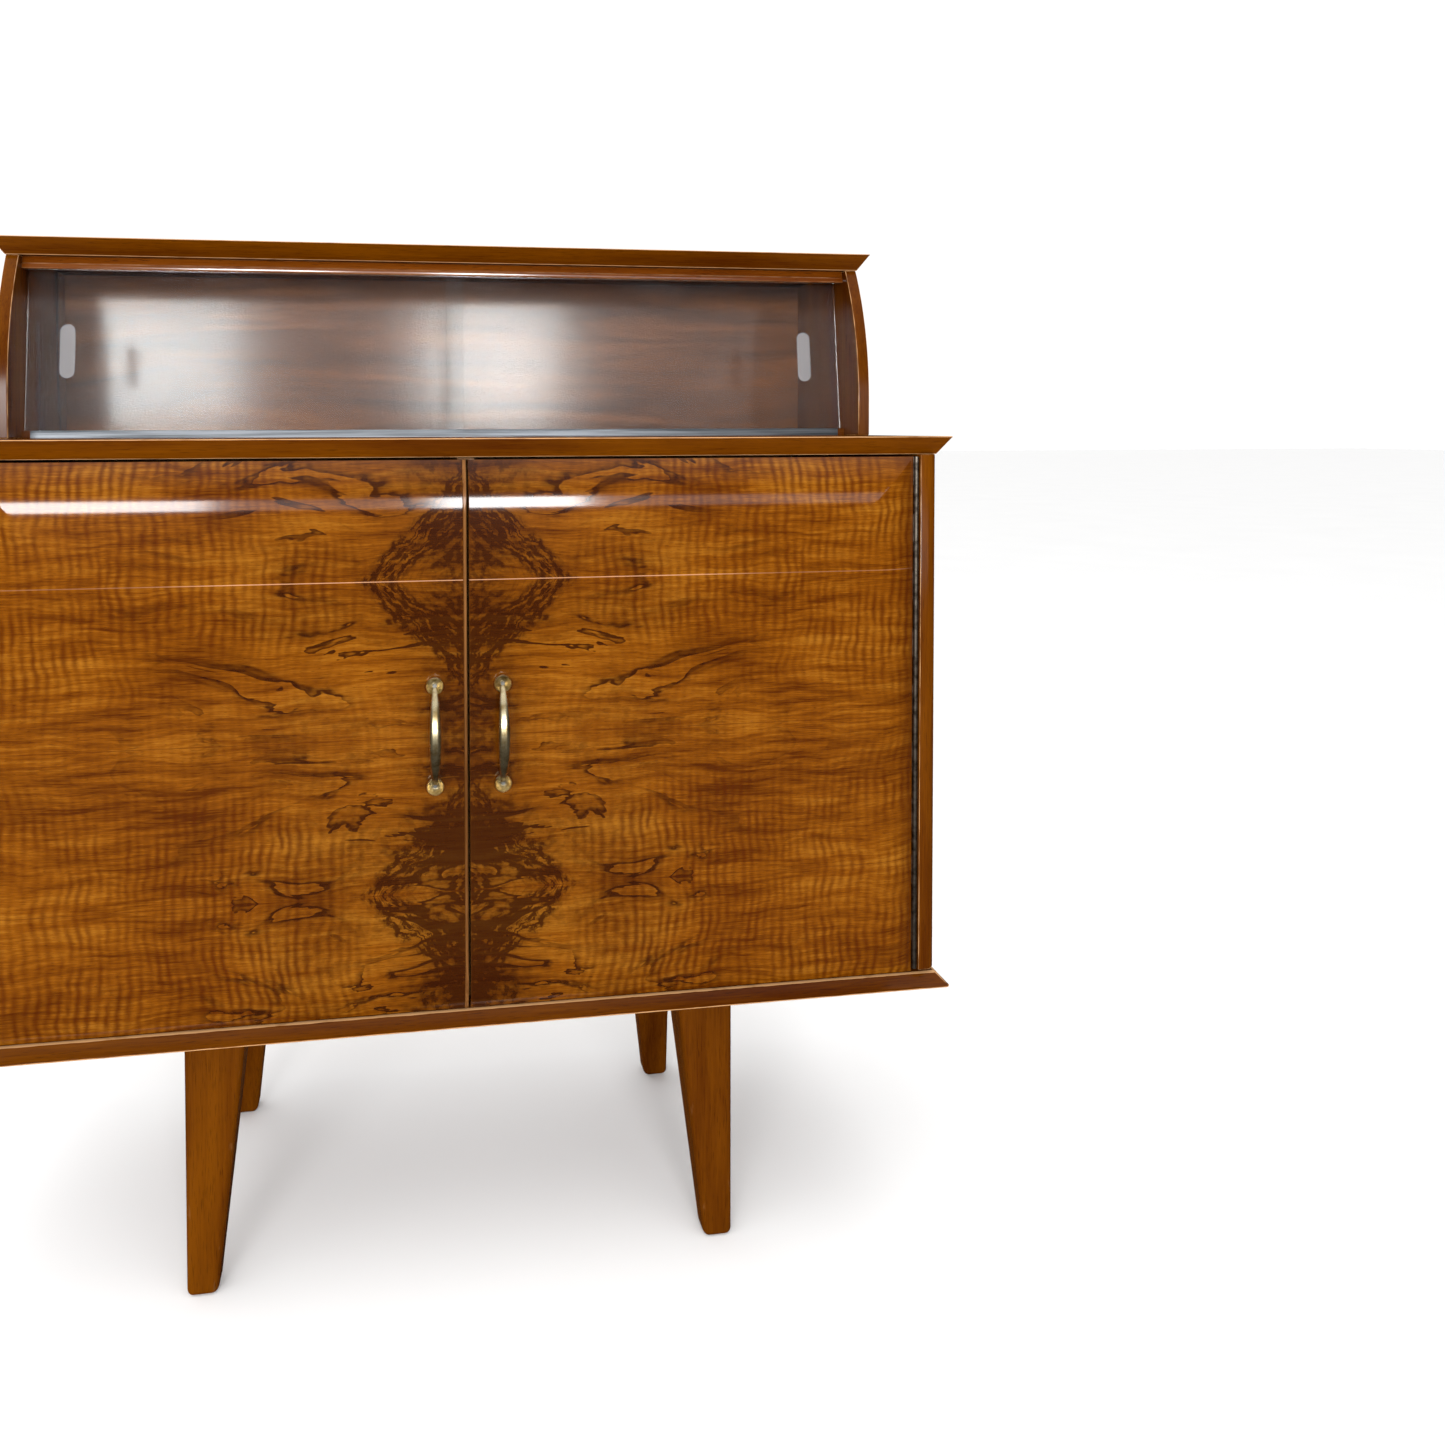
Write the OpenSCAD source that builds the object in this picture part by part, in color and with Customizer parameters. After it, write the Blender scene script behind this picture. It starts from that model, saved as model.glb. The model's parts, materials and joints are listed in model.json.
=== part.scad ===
// Glazed display sideboard: a two-door base cupboard on four tapered legs,
// with a shallower raised section behind two sliding glass panes.
// Millimetres. X runs along the width, Y from front to back, Z up.
// The origin is the middle of the footprint, handles included, on the floor.

/* [Overall] */
// Width over the deck board
body_w = 1074; // [860:10:1400]
// Depth over the deck board
body_d = 430; // [370:10:560]
// Height of the legs, floor to underside of the bottom board
leg_h = 286; // [200:1:400]
// Height of the base cupboard, underside of bottom board to top of deck
base_h = 619; // [500:5:760]
// Height of the glazed section, top of deck to top of upper board
upper_h = 237; // [200:1:320]

/* [Base boards] */
// Thickness of the deck board
deck_t = 20; // [17:1:28]
// How far the deck board's edges are cut under
deck_bevel = 13; // [6:1:20]
// Thickness of the bottom board
bottom_t = 15; // [14:1:26]
// How far the bottom board's edges are cut back at the top
bottom_bevel = 12; // [6:1:16]
// Thickness of the cupboard floor, which lifts the sides off the bottom board
floor_t = 5; // [4:1:9]
// Height of the square lip left on a bevelled edge
lip = 2; // [1:0.5:4]
// Thickness of the base side panels
side_t = 21; // [18:1:28]
// Side panels stand back from the front arris of the deck by
side_set = 6; // [5:1:16]
// Radius of the rounded outer front edge of a side panel
side_round = 12; // [6:1:14]
// Radius of the eased inner front edge of a side panel
side_ease = 3; // [1:0.5:4]
// Thickness of the partition and the shelves
inner_t = 18; // [18:1:24]
// Height of the shelves above the cupboard floor
shelf_up = 285; // [120:5:340]
// Thickness of the plywood backs
back_t = 6; // [4:1:9]

/* [Doors] */
// Thickness of a door at its edges
door_edge_t = 18; // [18:1:26]
// Front of the doors' edges stands back from the deck's front arris by
door_edge = 10; // [8:1:16]
// How far a door's face swells out from its top, bottom and outer edges
pillow_rise = 14; // [8:1:20]
// How wide the rounded band along those edges is
pillow_run = 55; // [40:1:80]
// Gap above, below and between the doors
door_gap = 2.5; // [2:0.5:4]
// Width of the pale bead on the left door's meeting edge
bead_w = 3.5; // [2:0.5:6]
// How far the bead stands proud of the door's face
bead_proud = 0.8; // [0.4:0.1:1.5]
// Gap between door and side panel, which holds the hinge barrel
hinge_gap = 7; // [7:0.5:10]

/* [Hinges] */
// Diameter of the hinge barrel
barrel_d = 6; // [5:0.5:6]
// Diameter of the hinge pin
pin_d = 2.5; // [2:0.1:3]
// Thickness of a hinge leaf
leaf_t = 1; // [0.8:0.1:1.2]
// Width of a hinge leaf behind the barrel
leaf_w = 13; // [10:1:13]
// Number of knuckles on a hinge
knuckles = 18; // [6:2:24]
// Screws in each hinge leaf
hinge_screws = 6; // [3:1:8]

/* [Handles] */
// Distance between the two feet of a handle
handle_pitch = 104; // [80:2:140]
// How far a bow stands off the door's face
bow_out = 26; // [20:1:34]
// Thickness of the bow
bow_d = 7; // [5:0.5:9]
// Diameter of a cup
cup_d = 18; // [16:1:24]
// How far the handles sit above the middle of the doors
handle_up = 6; // [0:1:60]
// Distance of a handle from the middle of the cabinet
handle_x = 35; // [28:1:60]

/* [Legs] */
// Outer face of a leg from the end of the cabinet
leg_in_side = 240; // [60:1:260]
// Outer face of a leg from the front or the back of the cabinet
leg_in_depth = 42; // [20:1:60]
// Width of a leg at the top
leg_top = 64; // [56:1:70]
// Width of a leg at the foot
leg_foot = 32; // [24:1:40]

/* [Glazed section] */
// Sides of the glazed section stand out past the base sides by
upper_out_side = 4; // [0:1:8]
// Front of the glazed section stands back from the deck's front arris by
upper_set = 200; // [150:1:220]
// Thickness of the upper side panels
upper_side_t = 15; // [15:1:22]
// How far the curved front edge falls back at the top
curve_back = 45; // [10:1:50]
// Height of the straight foot of the curved edge
curve_foot = 44; // [20:1:80]
// Thickness of the upper top board
upper_t = 20; // [16:1:26]
// How far the upper top's edges are cut under
upper_bevel = 13; // [6:1:16]
// Height of the front rail
rail_h = 15; // [13:1:24]
// Front face of the rail behind the side's edge at the top
rail_set = 8; // [4:1:14]

/* [Glass] */
// Thickness of a pane
glass_t = 4; // [3:0.5:5]
// Gap between the two panes
glass_gap = 2.6; // [2:0.1:4]
// How far the panes lean back, in degrees
glass_lean = 7; // [0:1:8]
// Front pane stands behind the front of the upper sides by
glass_set = 50; // [44:1:60]
// How far the panes overlap in the middle
glass_overlap = 21; // [10:1:40]
// Width of a finger pull
pull_w = 18; // [12:1:24]
// Height of a finger pull
pull_h = 66; // [40:2:90]
// Depth of a finger pull
pull_deep = 1.2; // [0.6:0.1:1.5]

/* [Fits] */
// Clearance round a glued or screwed fastener
fit = 0.05; // [0.02:0.01:0.1]
// Clearance between a pane and its channel
slide_fit = 0.3; // [0.3:0.05:0.6]
// Clearance at the ends of shelves, plywood backs and panes
end_fit = 1; // [0.5:0.5:2]

/* [Hidden] */
$fn = 96;
cut = 1;                        // overrun of a cutting shape past a face

// Levels above the floor
z_board = leg_h + bottom_t;     // top of the bottom board
z_floor = z_board + floor_t;
z_deck = leg_h + base_h;
z_under = z_deck - deck_t;
z_top = z_deck + upper_h;
z_ceil = z_top - upper_t;

// Widths, measured from the middle
reveal = 1;                     // flat left between a bevel and the panel below it
ring_d = bow_d + 2.4;           // collar round the middle of a bow
door_set = door_edge - pillow_rise;     // flat face of the doors
handle_out = bow_out + ring_d / 2 - door_set;
side_out = body_w / 2 - deck_bevel - reveal;
side_in = side_out - side_t;
upper_out = side_out + upper_out_side;
upper_in = upper_out - upper_side_t;
upper_top_w = 2 * (upper_out + reveal + upper_bevel);
rabbet = 8;                     // land of the side panels that a back sits on

// Doors, measured back from the front arris of the deck
door_t = pillow_rise + door_edge_t;
door_back = door_set + door_t;
axis_set = door_edge;
pillow_r = (pow(pillow_run, 2) + pow(pillow_rise, 2)) / (2 * pillow_rise);
door_z = z_board + door_gap;
door_h = z_under - z_board - 2 * door_gap;
door_out = side_in - hinge_gap;
meet = door_gap / 2;
axis_x = side_in - hinge_gap / 2;
handle_z = door_z + door_h / 2 + handle_up;
inner_set = door_back + door_gap;      // front of the partition and the floor
floor_in = 8;                          // ends of the floor from the sides' outer faces
shelf_set = inner_set + 6;             // front of the shelves

// Hinges
hinge_z = z_floor + end_fit;
hinge_h = door_z + door_h - hinge_z;
knuckle_h = hinge_h / knuckles;
knuckle_gap = 0.4;
pin_fit = 0.05;
leaf_start = barrel_d / 2 + 0.5;       // a leaf's plate clears the other leaf's knuckles

// Fasteners
dowel_d = 8;
dowel_foot = 10;                // a carcass dowel's depth in the bottom board
dowel_up = 18;                  // a carcass dowel's depth in an upright
thin_dowel_d = 6;
thin_dowel = 8;                 // a thin dowel's depth in a board
thin_dowel_in = 16;             // a thin dowel's depth in the other piece
dowel_end = deck_t - thin_dowel - 2;   // a carcass dowel stops below the thin dowels
hinge_screw = [3, 5.6, 14];     // shank, head and length
back_screw = [3, 6, 20];
plate_screw = [4, 8, 14];
catch_screw = [2.5, 5, 12];
magnet_screw = [3, 6, 20];

// Legs and their plates
leg_plate = 50;
leg_plate_t = 2;
plate_hole = 18;                // screws of a plate from its middle
boss_d = 14;
boss_h = 10;
stud_d = 8;
stud_in = 34;                   // a stud's depth in its leg
leg_x = body_w / 2 - leg_in_side;
stud_off = leg_top / 2;         // a stud from the outer faces of its leg

// Catches
magnet = [13, 16, 40];
magnet_z = z_under - 90;
catch_t = 1.2;
catch_gap = 0.4;
catch_plate = [15, 36];
catch_hole = 13;                // screws of a catch plate from its middle
magnet_hole = 13;

// Shelves
tab = [9, 8, 3];
pin_shank_d = 5;
pin_deep = 8;
shelf_z = z_floor + shelf_up;
pin_in = 40;                    // shelf pins from the shelf's front and back

// Glazed section
upper_front = upper_set + curve_back - reveal - upper_bevel;
curve_h = z_ceil - z_deck - curve_foot;
curve_r = (pow(curve_h, 2) + pow(curve_back, 2)) / (2 * curve_back);
rail_front = upper_set + curve_back + rail_set;
rail_t = 14;
glass_y = upper_set + glass_set;
track_h = 9;
track_lead = 4;                 // channel strip in front of the front pane
track_d = 2 * glass_t + glass_gap + 2 * track_lead + 1;
top_track_h = 12;
channel_floor = 3.7;            // bottom of a channel above the deck, along the glass
channel_top = 9;                // depth of a channel in the top track
pane_bite = 5;                  // how far a pane enters the top track
block_w = 9;
pane_low = channel_floor + slide_fit;
track_under = (z_ceil - top_track_h - z_deck) / cos(glass_lean);
pane_high = track_under + pane_bite;
pane_w = upper_in - end_fit + glass_overlap / 2;
pane_travel = 2 * upper_in - 2 * end_fit - pane_w;
pull_x = 46;                    // middle of a pull from the pane's outer edge
pull_z = (pane_low + pane_high) / 2 - 2;

// Distance d behind the front arris of the deck, as a Y coordinate
function fy(d) = d - (body_d - handle_out) / 2;

// Middle heights of n fasteners spread over a length, with a margin at both ends
function spread(n, length, margin) =
    [for (i = [0 : n - 1]) margin + i * (length - 2 * margin) / (n - 1)];

// Depths of dowels, back from the front arris of the deck
side_dowels = [60, (60 + body_d - 50) / 2, body_d - 50];
divider_dowels = [90, body_d - 60];
deck_dowel_set = [upper_set + 35, body_d - 80];
upper_dowel_set = [upper_set + curve_back + 45, body_d - 40];

module on_left() { mirror([1, 0, 0]) children(); }

module at_both() {
    children();
    on_left() children();
}

// A board whose front and end edges are cut back by bevel from the wide face.
// The wide face is on top, or below when wide_below is true.
module bevelled_board(w, d, t, bevel, wide_below = false) {
    near = wide_below ? 0 : t;
    far = t - near;
    step = wide_below ? lip : t - lip;
    intersection() {
        rotate([90, 0, 90]) linear_extrude(w, center = true)
            polygon([[0, near], [0, step], [bevel, far], [d, far], [d, near]]);
        translate([0, d, 0]) rotate([90, 0, 0]) linear_extrude(d)
            polygon([[-w / 2, near], [-w / 2, step], [bevel - w / 2, far],
                [w / 2 - bevel, far], [w / 2, step], [w / 2, near]]);
    }
}

// A countersunk wood screw, head face at z = 0, pointing along +Z
module screw_solid(s, grow = 0) {
    r = s[0] / 2 + grow;
    head = s[1] / 2 + grow;
    rotate_extrude() polygon([[0, 0], [head, 0], [r, head - r], [r, s[2] - r],
        [0, s[2] + grow]]);
}

module screw(s) {
    slot_w = s[0] / 4;
    difference() {
        screw_solid(s);
        translate([-s[1], -slot_w / 2, -cut]) cube([2 * s[1], slot_w, cut + s[0] / 6]);
    }
}

module screw_hole(s) {
    screw_solid(s, fit);
    translate([0, 0, -cut]) cylinder(d = s[1] + 2 * fit, h = cut + fit);
}

module dowel(d, length) { cylinder(d = d, h = length); }

module dowel_hole(d, length) {
    translate([0, 0, -fit]) cylinder(d = d + 2 * fit, h = length + 2 * fit);
}

// ---- Base cupboard ----

// Carcass dowels of one upright: at each end of it, at the given depths
module upright_dowels(x, depths, hole = false) {
    for (d = depths) {
        translate([x, fy(d), z_board - dowel_foot])
            if (hole) dowel_hole(dowel_d, dowel_foot + floor_t + dowel_up);
            else dowel(dowel_d, dowel_foot + floor_t + dowel_up);
        translate([x, fy(d), z_under - dowel_up])
            if (hole) dowel_hole(dowel_d, dowel_up + dowel_end);
            else dowel(dowel_d, dowel_up + dowel_end);
    }
}

module all_upright_dowels(hole = false) {
    for (x = [-1, 1] * (side_in + side_t / 2)) upright_dowels(x, side_dowels, hole);
    upright_dowels(0, divider_dowels, hole);
}

module carcass_dowels() { color("burlywood") all_upright_dowels(); }

module deck_dowel_places(grow = 0) {
    at_both() for (d = deck_dowel_set)
        translate([upper_in + upper_side_t / 2, fy(d), z_deck - thin_dowel - grow])
            cylinder(d = thin_dowel_d + 2 * grow, h = thin_dowel + thin_dowel_in + 2 * grow);
}

module deck_dowels() { color("burlywood") deck_dowel_places(); }

module lower_top() {
    color("sienna") difference() {
        translate([0, fy(0), z_under]) bevelled_board(body_w, body_d, deck_t, deck_bevel);
        all_upright_dowels(true);
        deck_dowel_places(fit);
    }
}

module bottom_board() {
    color("sienna") difference() {
        translate([0, fy(0), leg_h])
            bevelled_board(body_w, body_d, bottom_t, bottom_bevel, true);
        all_upright_dowels(true);
        each_leg() {
            translate([0, 0, leg_h - cut])
                cylinder(d = boss_d + 2 * fit, h = boss_h + fit + cut);
            each_plate_screw() screw_hole(plate_screw);
        }
    }
}

// Thin floor, set back so that it leaves a shadow gap round the base
module cupboard_floor() {
    half = side_out - floor_in;
    color("sienna") difference() {
        translate([-half, fy(inner_set), z_board])
            cube([2 * half, body_d - inner_set, floor_t]);
        all_upright_dowels(true);
    }
}

module side_outline() {
    depth = body_d - side_set;
    difference() {
        square([side_t, depth]);
        translate([side_t - side_round, 0]) difference() {
            translate([0, -cut]) square([side_round + cut, side_round + cut]);
            translate([0, side_round]) circle(side_round);
        }
        difference() {
            translate([-cut, -cut]) square(side_ease + cut);
            translate([side_ease, side_ease]) circle(side_ease);
        }
        translate([-cut, depth - back_t]) square([rabbet + cut, back_t + cut]);
    }
}

// The right-hand side panel, with all its holes
module side_panel() {
    difference() {
        translate([side_in, fy(side_set), z_floor])
            linear_extrude(z_under - z_floor) side_outline();
        all_upright_dowels(true);
        lower_back_screw_places(true);
        shelf_pin_places() pin_shape(fit);
        hinge_screw_places() translate([side_in - leaf_t, 0, 0]) rotate([0, 90, 0])
            screw_hole(hinge_screw);
    }
}

module side_right() { color("chocolate") side_panel(); }

module side_left() { color("chocolate") on_left() side_panel(); }

module centre_divider() {
    color("tan") difference() {
        translate([-inner_t / 2, fy(inner_set), z_floor])
            cube([inner_t, body_d - back_t - inner_set, z_under - z_floor]);
        all_upright_dowels(true);
        lower_back_screw_places(true);
        at_both() shelf_pin_places() pin_shape(fit);
        magnet_screw_places() screw_hole(magnet_screw);
    }
}

module lower_back_screw_places(hole = false) {
    for (x = [-1, 0, 1] * (side_in + rabbet / 2), z = spread(4, z_under - z_floor, 60))
        translate([x, fy(body_d), z_floor + z]) rotate([90, 0, 0])
            if (hole) screw_hole(back_screw);
            else screw(back_screw);
}

module lower_back_screws() { color("goldenrod") lower_back_screw_places(); }

module lower_back_panel() {
    half = side_in + rabbet - end_fit / 2;
    color("peru") difference() {
        translate([-half, fy(body_d - back_t), z_floor])
            cube([2 * half, back_t, z_under - z_floor]);
        lower_back_screw_places(true);
    }
}

// The right-hand shelf, between the partition and the side panel
module shelf() {
    translate([inner_t / 2 + end_fit, fy(shelf_set), shelf_z])
        cube([side_in - inner_t / 2 - 2 * end_fit, body_d - back_t - end_fit - shelf_set,
            inner_t]);
}

module shelf_right() { color("tan") shelf(); }

module shelf_left() { color("tan") on_left() shelf(); }

// Local frame of each right-hand shelf pin: +X points into the panel that holds it
module shelf_pin_places() {
    for (d = [shelf_set + pin_in, body_d - back_t - pin_in]) {
        translate([side_in, fy(d), shelf_z]) children();
        translate([inner_t / 2, fy(d), shelf_z]) mirror([1, 0, 0]) children();
    }
}

module pin_shape(grow = 0) {
    translate([-grow, 0, -tab[2] - pin_shank_d / 2 + tab[2]]) rotate([0, 90, 0])
        cylinder(d = pin_shank_d + 2 * grow, h = pin_deep + 2 * grow);
}

module shelf_pins() {
    color("silver") at_both() shelf_pin_places() {
        pin_shape();
        translate([-tab[0], -tab[1] / 2, -pin_shank_d / 2 - tab[2] / 2])
            cube([tab[0], tab[1], pin_shank_d / 2 + tab[2] / 2]);
    }
}

// ---- Legs ----

// Local frame over one stud, at floor level: +X and +Y towards the leg's outer faces.
// sx = 1 is on the left, sy = 1 at the front.
module stud_frame(sx, sy) {
    translate([0, fy(body_d / 2), 0]) mirror([sx, 0, 0]) mirror([0, sy, 0])
        translate([leg_x - stud_off, body_d / 2 - leg_in_depth - stud_off, 0]) children();
}

module each_leg() { for (sx = [0, 1], sy = [0, 1]) stud_frame(sx, sy) children(); }

module each_plate_screw() {
    for (x = [-1, 1] * plate_hole, y = [-1, 1] * plate_hole)
        translate([x, y, leg_h - leg_plate_t]) children();
}

// One leg in the frame of its stud: outer faces upright, inner faces tapered
module leg() {
    height = leg_h - leg_plate_t;
    outline = [[stud_off, 0], [stud_off, height], [stud_off - leg_top, height],
        [stud_off - leg_foot, 0]];
    difference() {
        intersection() {
            translate([0, stud_off, 0]) rotate([90, 0, 0]) linear_extrude(leg_top)
                polygon(outline);
            translate([stud_off - leg_top, 0, 0]) rotate([90, 0, 90]) linear_extrude(leg_top)
                polygon(outline);
        }
        translate([0, 0, height - stud_in - fit])
            cylinder(d = stud_d + 2 * fit, h = stud_in + cut);
    }
}

module leg_front_left() { color("chocolate") stud_frame(1, 1) leg(); }

module leg_front_right() { color("chocolate") stud_frame(0, 1) leg(); }

module leg_rear_left() { color("chocolate") stud_frame(1, 0) leg(); }

module leg_rear_right() { color("chocolate") stud_frame(0, 0) leg(); }

module leg_plates() {
    color("dimgray") each_leg() difference() {
        union() {
            translate([-leg_plate / 2, -leg_plate / 2, leg_h - leg_plate_t])
                cube([leg_plate, leg_plate, leg_plate_t]);
            translate([0, 0, leg_h - cut]) cylinder(d = boss_d, h = boss_h + cut);
        }
        translate([0, 0, leg_h - leg_plate_t - cut])
            cylinder(d = stud_d + 2 * fit, h = leg_plate_t + boss_h + 2 * cut);
        each_plate_screw() screw_hole(plate_screw);
    }
}

module leg_studs() {
    color("silver") each_leg() translate([0, 0, leg_h - leg_plate_t - stud_in])
        cylinder(d = stud_d, h = stud_in + leg_plate_t + boss_h - cut);
}

module leg_plate_screws() {
    color("silver") each_leg() each_plate_screw() screw(plate_screw);
}

// ---- Doors ----

// Corner taken off an outline so that an arc runs from the edge to the flat face.
// x runs back from the face, y inwards from the edge.
module pillow_corner() {
    difference() {
        translate([-cut, -cut]) square([pillow_rise + cut, pillow_run + cut]);
        translate([pillow_r, pillow_run]) circle(pillow_r, $fn = 360);
    }
}

// Upright section of a door with its rounded top and bottom, run over a width
module door_section(t, w) {
    rotate([90, 0, 90]) linear_extrude(w) difference() {
        square([t, door_h]);
        pillow_corner();
        translate([0, door_h]) mirror([0, 1]) pillow_corner();
    }
}

// Right-hand door from x = inner to its hinge edge, without holes
module door_blank(inner) {
    w = door_out - inner;
    translate([inner, fy(door_set), door_z]) intersection() {
        door_section(door_t, w);
        linear_extrude(door_h) difference() {
            square([w, door_t]);
            translate([w, 0]) rotate(90) pillow_corner();
        }
    }
}

module door_cuts() {
    handle_bolt_places() bolt_hole();
    hinge_screw_places() translate([door_out + leaf_t, 0, 0]) rotate([0, -90, 0])
        screw_hole(hinge_screw);
    catch_screw_places() screw_hole(catch_screw);
}

module door_right_panel() {
    color("darkgoldenrod") difference() {
        door_blank(meet);
        door_cuts();
    }
}

module door_left_panel() {
    color("darkgoldenrod") on_left() difference() {
        door_blank(meet + bead_w);
        door_cuts();
    }
}

module door_meeting_bead() {
    round_r = bead_w / 2;
    deep = door_t + bead_proud;
    color("wheat") on_left() translate([meet, fy(door_set - bead_proud), door_z])
        intersection() {
            door_section(deep, bead_w);
            linear_extrude(door_h) {
                translate([0, round_r]) square([bead_w, deep - round_r]);
                translate([round_r, round_r]) circle(round_r);
            }
        }
}

// ---- Hinges, drawn for the right-hand door ----

module hinge_screw_places() {
    for (z = spread(hinge_screws, hinge_h, 40))
        translate([0, fy(axis_set + leaf_start + leaf_w / 2), hinge_z + z]) children();
}

// One leaf: a plate against the wood at x = face, and every second knuckle.
// out is +1 when the wood is on the +X side of the leaf.
module leaf(face, out, first) {
    x0 = out > 0 ? face - leaf_t : face;
    difference() {
        union() {
            translate([x0, fy(axis_set + leaf_start), hinge_z]) cube([leaf_t, leaf_w, hinge_h]);
            for (i = [first : 2 : knuckles - 1]) {
                low = hinge_z + i * knuckle_h + knuckle_gap / 2;
                translate([axis_x, fy(axis_set), low])
                    cylinder(d = barrel_d, h = knuckle_h - knuckle_gap);
                translate([x0, fy(axis_set), low])
                    cube([leaf_t, leaf_start + cut, knuckle_h - knuckle_gap]);
            }
        }
        translate([axis_x, fy(axis_set), hinge_z - cut])
            cylinder(d = pin_d + 2 * pin_fit, h = hinge_h + 2 * cut);
        hinge_screw_places() translate([out > 0 ? x0 : x0 + leaf_t, 0, 0])
            rotate([0, 90 * out, 0]) screw_hole(hinge_screw);
    }
}

module frame_leaf() { leaf(side_in, 1, 0); }

module door_leaf() { leaf(door_out, -1, 1); }

module hinge_pin() {
    translate([axis_x, fy(axis_set), hinge_z]) cylinder(d = pin_d, h = hinge_h);
}

module frame_screws() {
    hinge_screw_places() translate([side_in - leaf_t, 0, 0]) rotate([0, 90, 0])
        screw(hinge_screw);
}

module door_screws() {
    hinge_screw_places() translate([door_out + leaf_t, 0, 0]) rotate([0, -90, 0])
        screw(hinge_screw);
}

module hinge_right_frame_leaf() { color("gray") frame_leaf(); }

module hinge_left_frame_leaf() { color("gray") on_left() frame_leaf(); }

module hinge_right_door_leaf() { color("gray") door_leaf(); }

module hinge_left_door_leaf() { color("gray") on_left() door_leaf(); }

module hinge_right_pin() { color("silver") hinge_pin(); }

module hinge_left_pin() { color("silver") on_left() hinge_pin(); }

module hinge_right_frame_screws() { color("silver") frame_screws(); }

module hinge_left_frame_screws() { color("silver") on_left() frame_screws(); }

module hinge_right_door_screws() { color("silver") door_screws(); }

module hinge_left_door_screws() { color("silver") on_left() door_screws(); }

// ---- Handles, drawn for the right-hand door ----

bolt_d = 4;
bolt_head_d = 8;
bolt_head_h = 2.4;
bolt_in = 7;                    // a bolt's depth in the handle's foot
foot_d = 8;                     // foot of the bow, through its cup
foot_h = 10;
cup_h = 5;
cup_wall = 1.2;
bow_rise = bow_out - foot_h + 3;
bow_r = (pow(handle_pitch / 2, 2) + pow(bow_rise, 2)) / (2 * bow_rise);
bow_half = asin(handle_pitch / 2 / bow_r);
ring_h = 4;

// Local frame of each bolt: z = 0 at the back of the door, +Z towards the front
module handle_bolt_places() {
    for (s = [-1, 1])
        translate([handle_x, fy(door_back), handle_z + s * handle_pitch / 2])
            rotate([90, 0, 0]) children();
}

module bolt_hole() {
    translate([0, 0, -cut]) cylinder(d = bolt_d + 2 * fit, h = door_t + 2 * cut);
}

module handle_bolts() {
    handle_bolt_places() {
        cylinder(d = bolt_d, h = door_t + bolt_in);
        difference() {
            translate([0, 0, -bolt_head_h]) cylinder(d = bolt_head_d, h = bolt_head_h);
            translate([-bolt_head_d, -0.6, -bolt_head_h - cut])
                cube([2 * bolt_head_d, 1.2, cut + bolt_head_h / 2]);
        }
    }
}

module handle_bow() {
    difference() {
        union() {
            handle_bolt_places() translate([0, 0, door_t]) cylinder(d = foot_d, h = foot_h);
            translate([handle_x, fy(door_set) - foot_h + 3 + bow_r - bow_rise, handle_z])
                rotate([0, 90, 0]) rotate([0, 0, -90 - bow_half])
                    rotate_extrude(angle = 2 * bow_half) translate([bow_r, 0]) circle(d = bow_d);
            translate([handle_x, fy(door_set) - bow_out, handle_z - ring_h / 2])
                cylinder(d = ring_d, h = ring_h);
        }
        handle_bolt_places() translate([0, 0, door_t - cut])
            cylinder(d = bolt_d + 2 * fit, h = bolt_in + fit + cut);
    }
}

module handle_cups() {
    handle_bolt_places() translate([0, 0, door_t]) rotate_extrude()
        polygon([[foot_d / 2 + fit, 0], [cup_d / 2 - 2, 0], [cup_d / 2, cup_h / 2],
            [cup_d / 2, cup_h], [cup_d / 2 - cup_wall, cup_h], [cup_d / 2 - 2 * cup_wall, cup_h / 2],
            [foot_d / 2 + fit, cup_wall]]);
}

module handle_right_bow() { color("gold") handle_bow(); }

module handle_left_bow() { color("gold") on_left() handle_bow(); }

module handle_right_cups() { color("gold") handle_cups(); }

module handle_left_cups() { color("gold") on_left() handle_cups(); }

module handle_right_bolts() { color("silver") handle_bolts(); }

module handle_left_bolts() { color("silver") on_left() handle_bolts(); }

// ---- Catches ----

// Local frame of each magnet screw: head side at z = 0, +Z into the partition
module magnet_screw_places() {
    at_both() for (s = [-1, 1])
        translate([inner_t / 2 + magnet[0], fy(magnet_y + magnet[1] / 2),
            magnet_z + s * magnet_hole]) rotate([0, -90, 0]) children();
}

magnet_y = door_back + catch_t + catch_gap;

module catch_magnets() {
    color("dimgray") difference() {
        at_both() translate([inner_t / 2, fy(magnet_y), magnet_z - magnet[2] / 2])
            cube(magnet);
        magnet_screw_places() screw_hole(magnet_screw);
    }
}

module catch_magnet_screws() { color("silver") magnet_screw_places() screw(magnet_screw); }

// Local frame of each catch-plate screw, for the right-hand door: +Z into the door
module catch_screw_places() {
    for (s = [-1, 1])
        translate([inner_t / 2 + magnet[0] / 2, fy(door_back + catch_t), magnet_z + s * catch_hole])
            rotate([90, 0, 0]) children();
}

module catch_plate_one() {
    difference() {
        translate([inner_t / 2 + magnet[0] / 2 - catch_plate[0] / 2, fy(door_back),
            magnet_z - catch_plate[1] / 2]) cube([catch_plate[0], catch_t, catch_plate[1]]);
        catch_screw_places() screw_hole(catch_screw);
    }
}

module catch_plate_right() { color("silver") catch_plate_one(); }

module catch_plate_left() { color("silver") on_left() catch_plate_one(); }

module catch_plate_right_screws() { color("silver") catch_screw_places() screw(catch_screw); }

module catch_plate_left_screws() {
    color("silver") on_left() catch_screw_places() screw(catch_screw);
}

// ---- Glazed section ----

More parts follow.
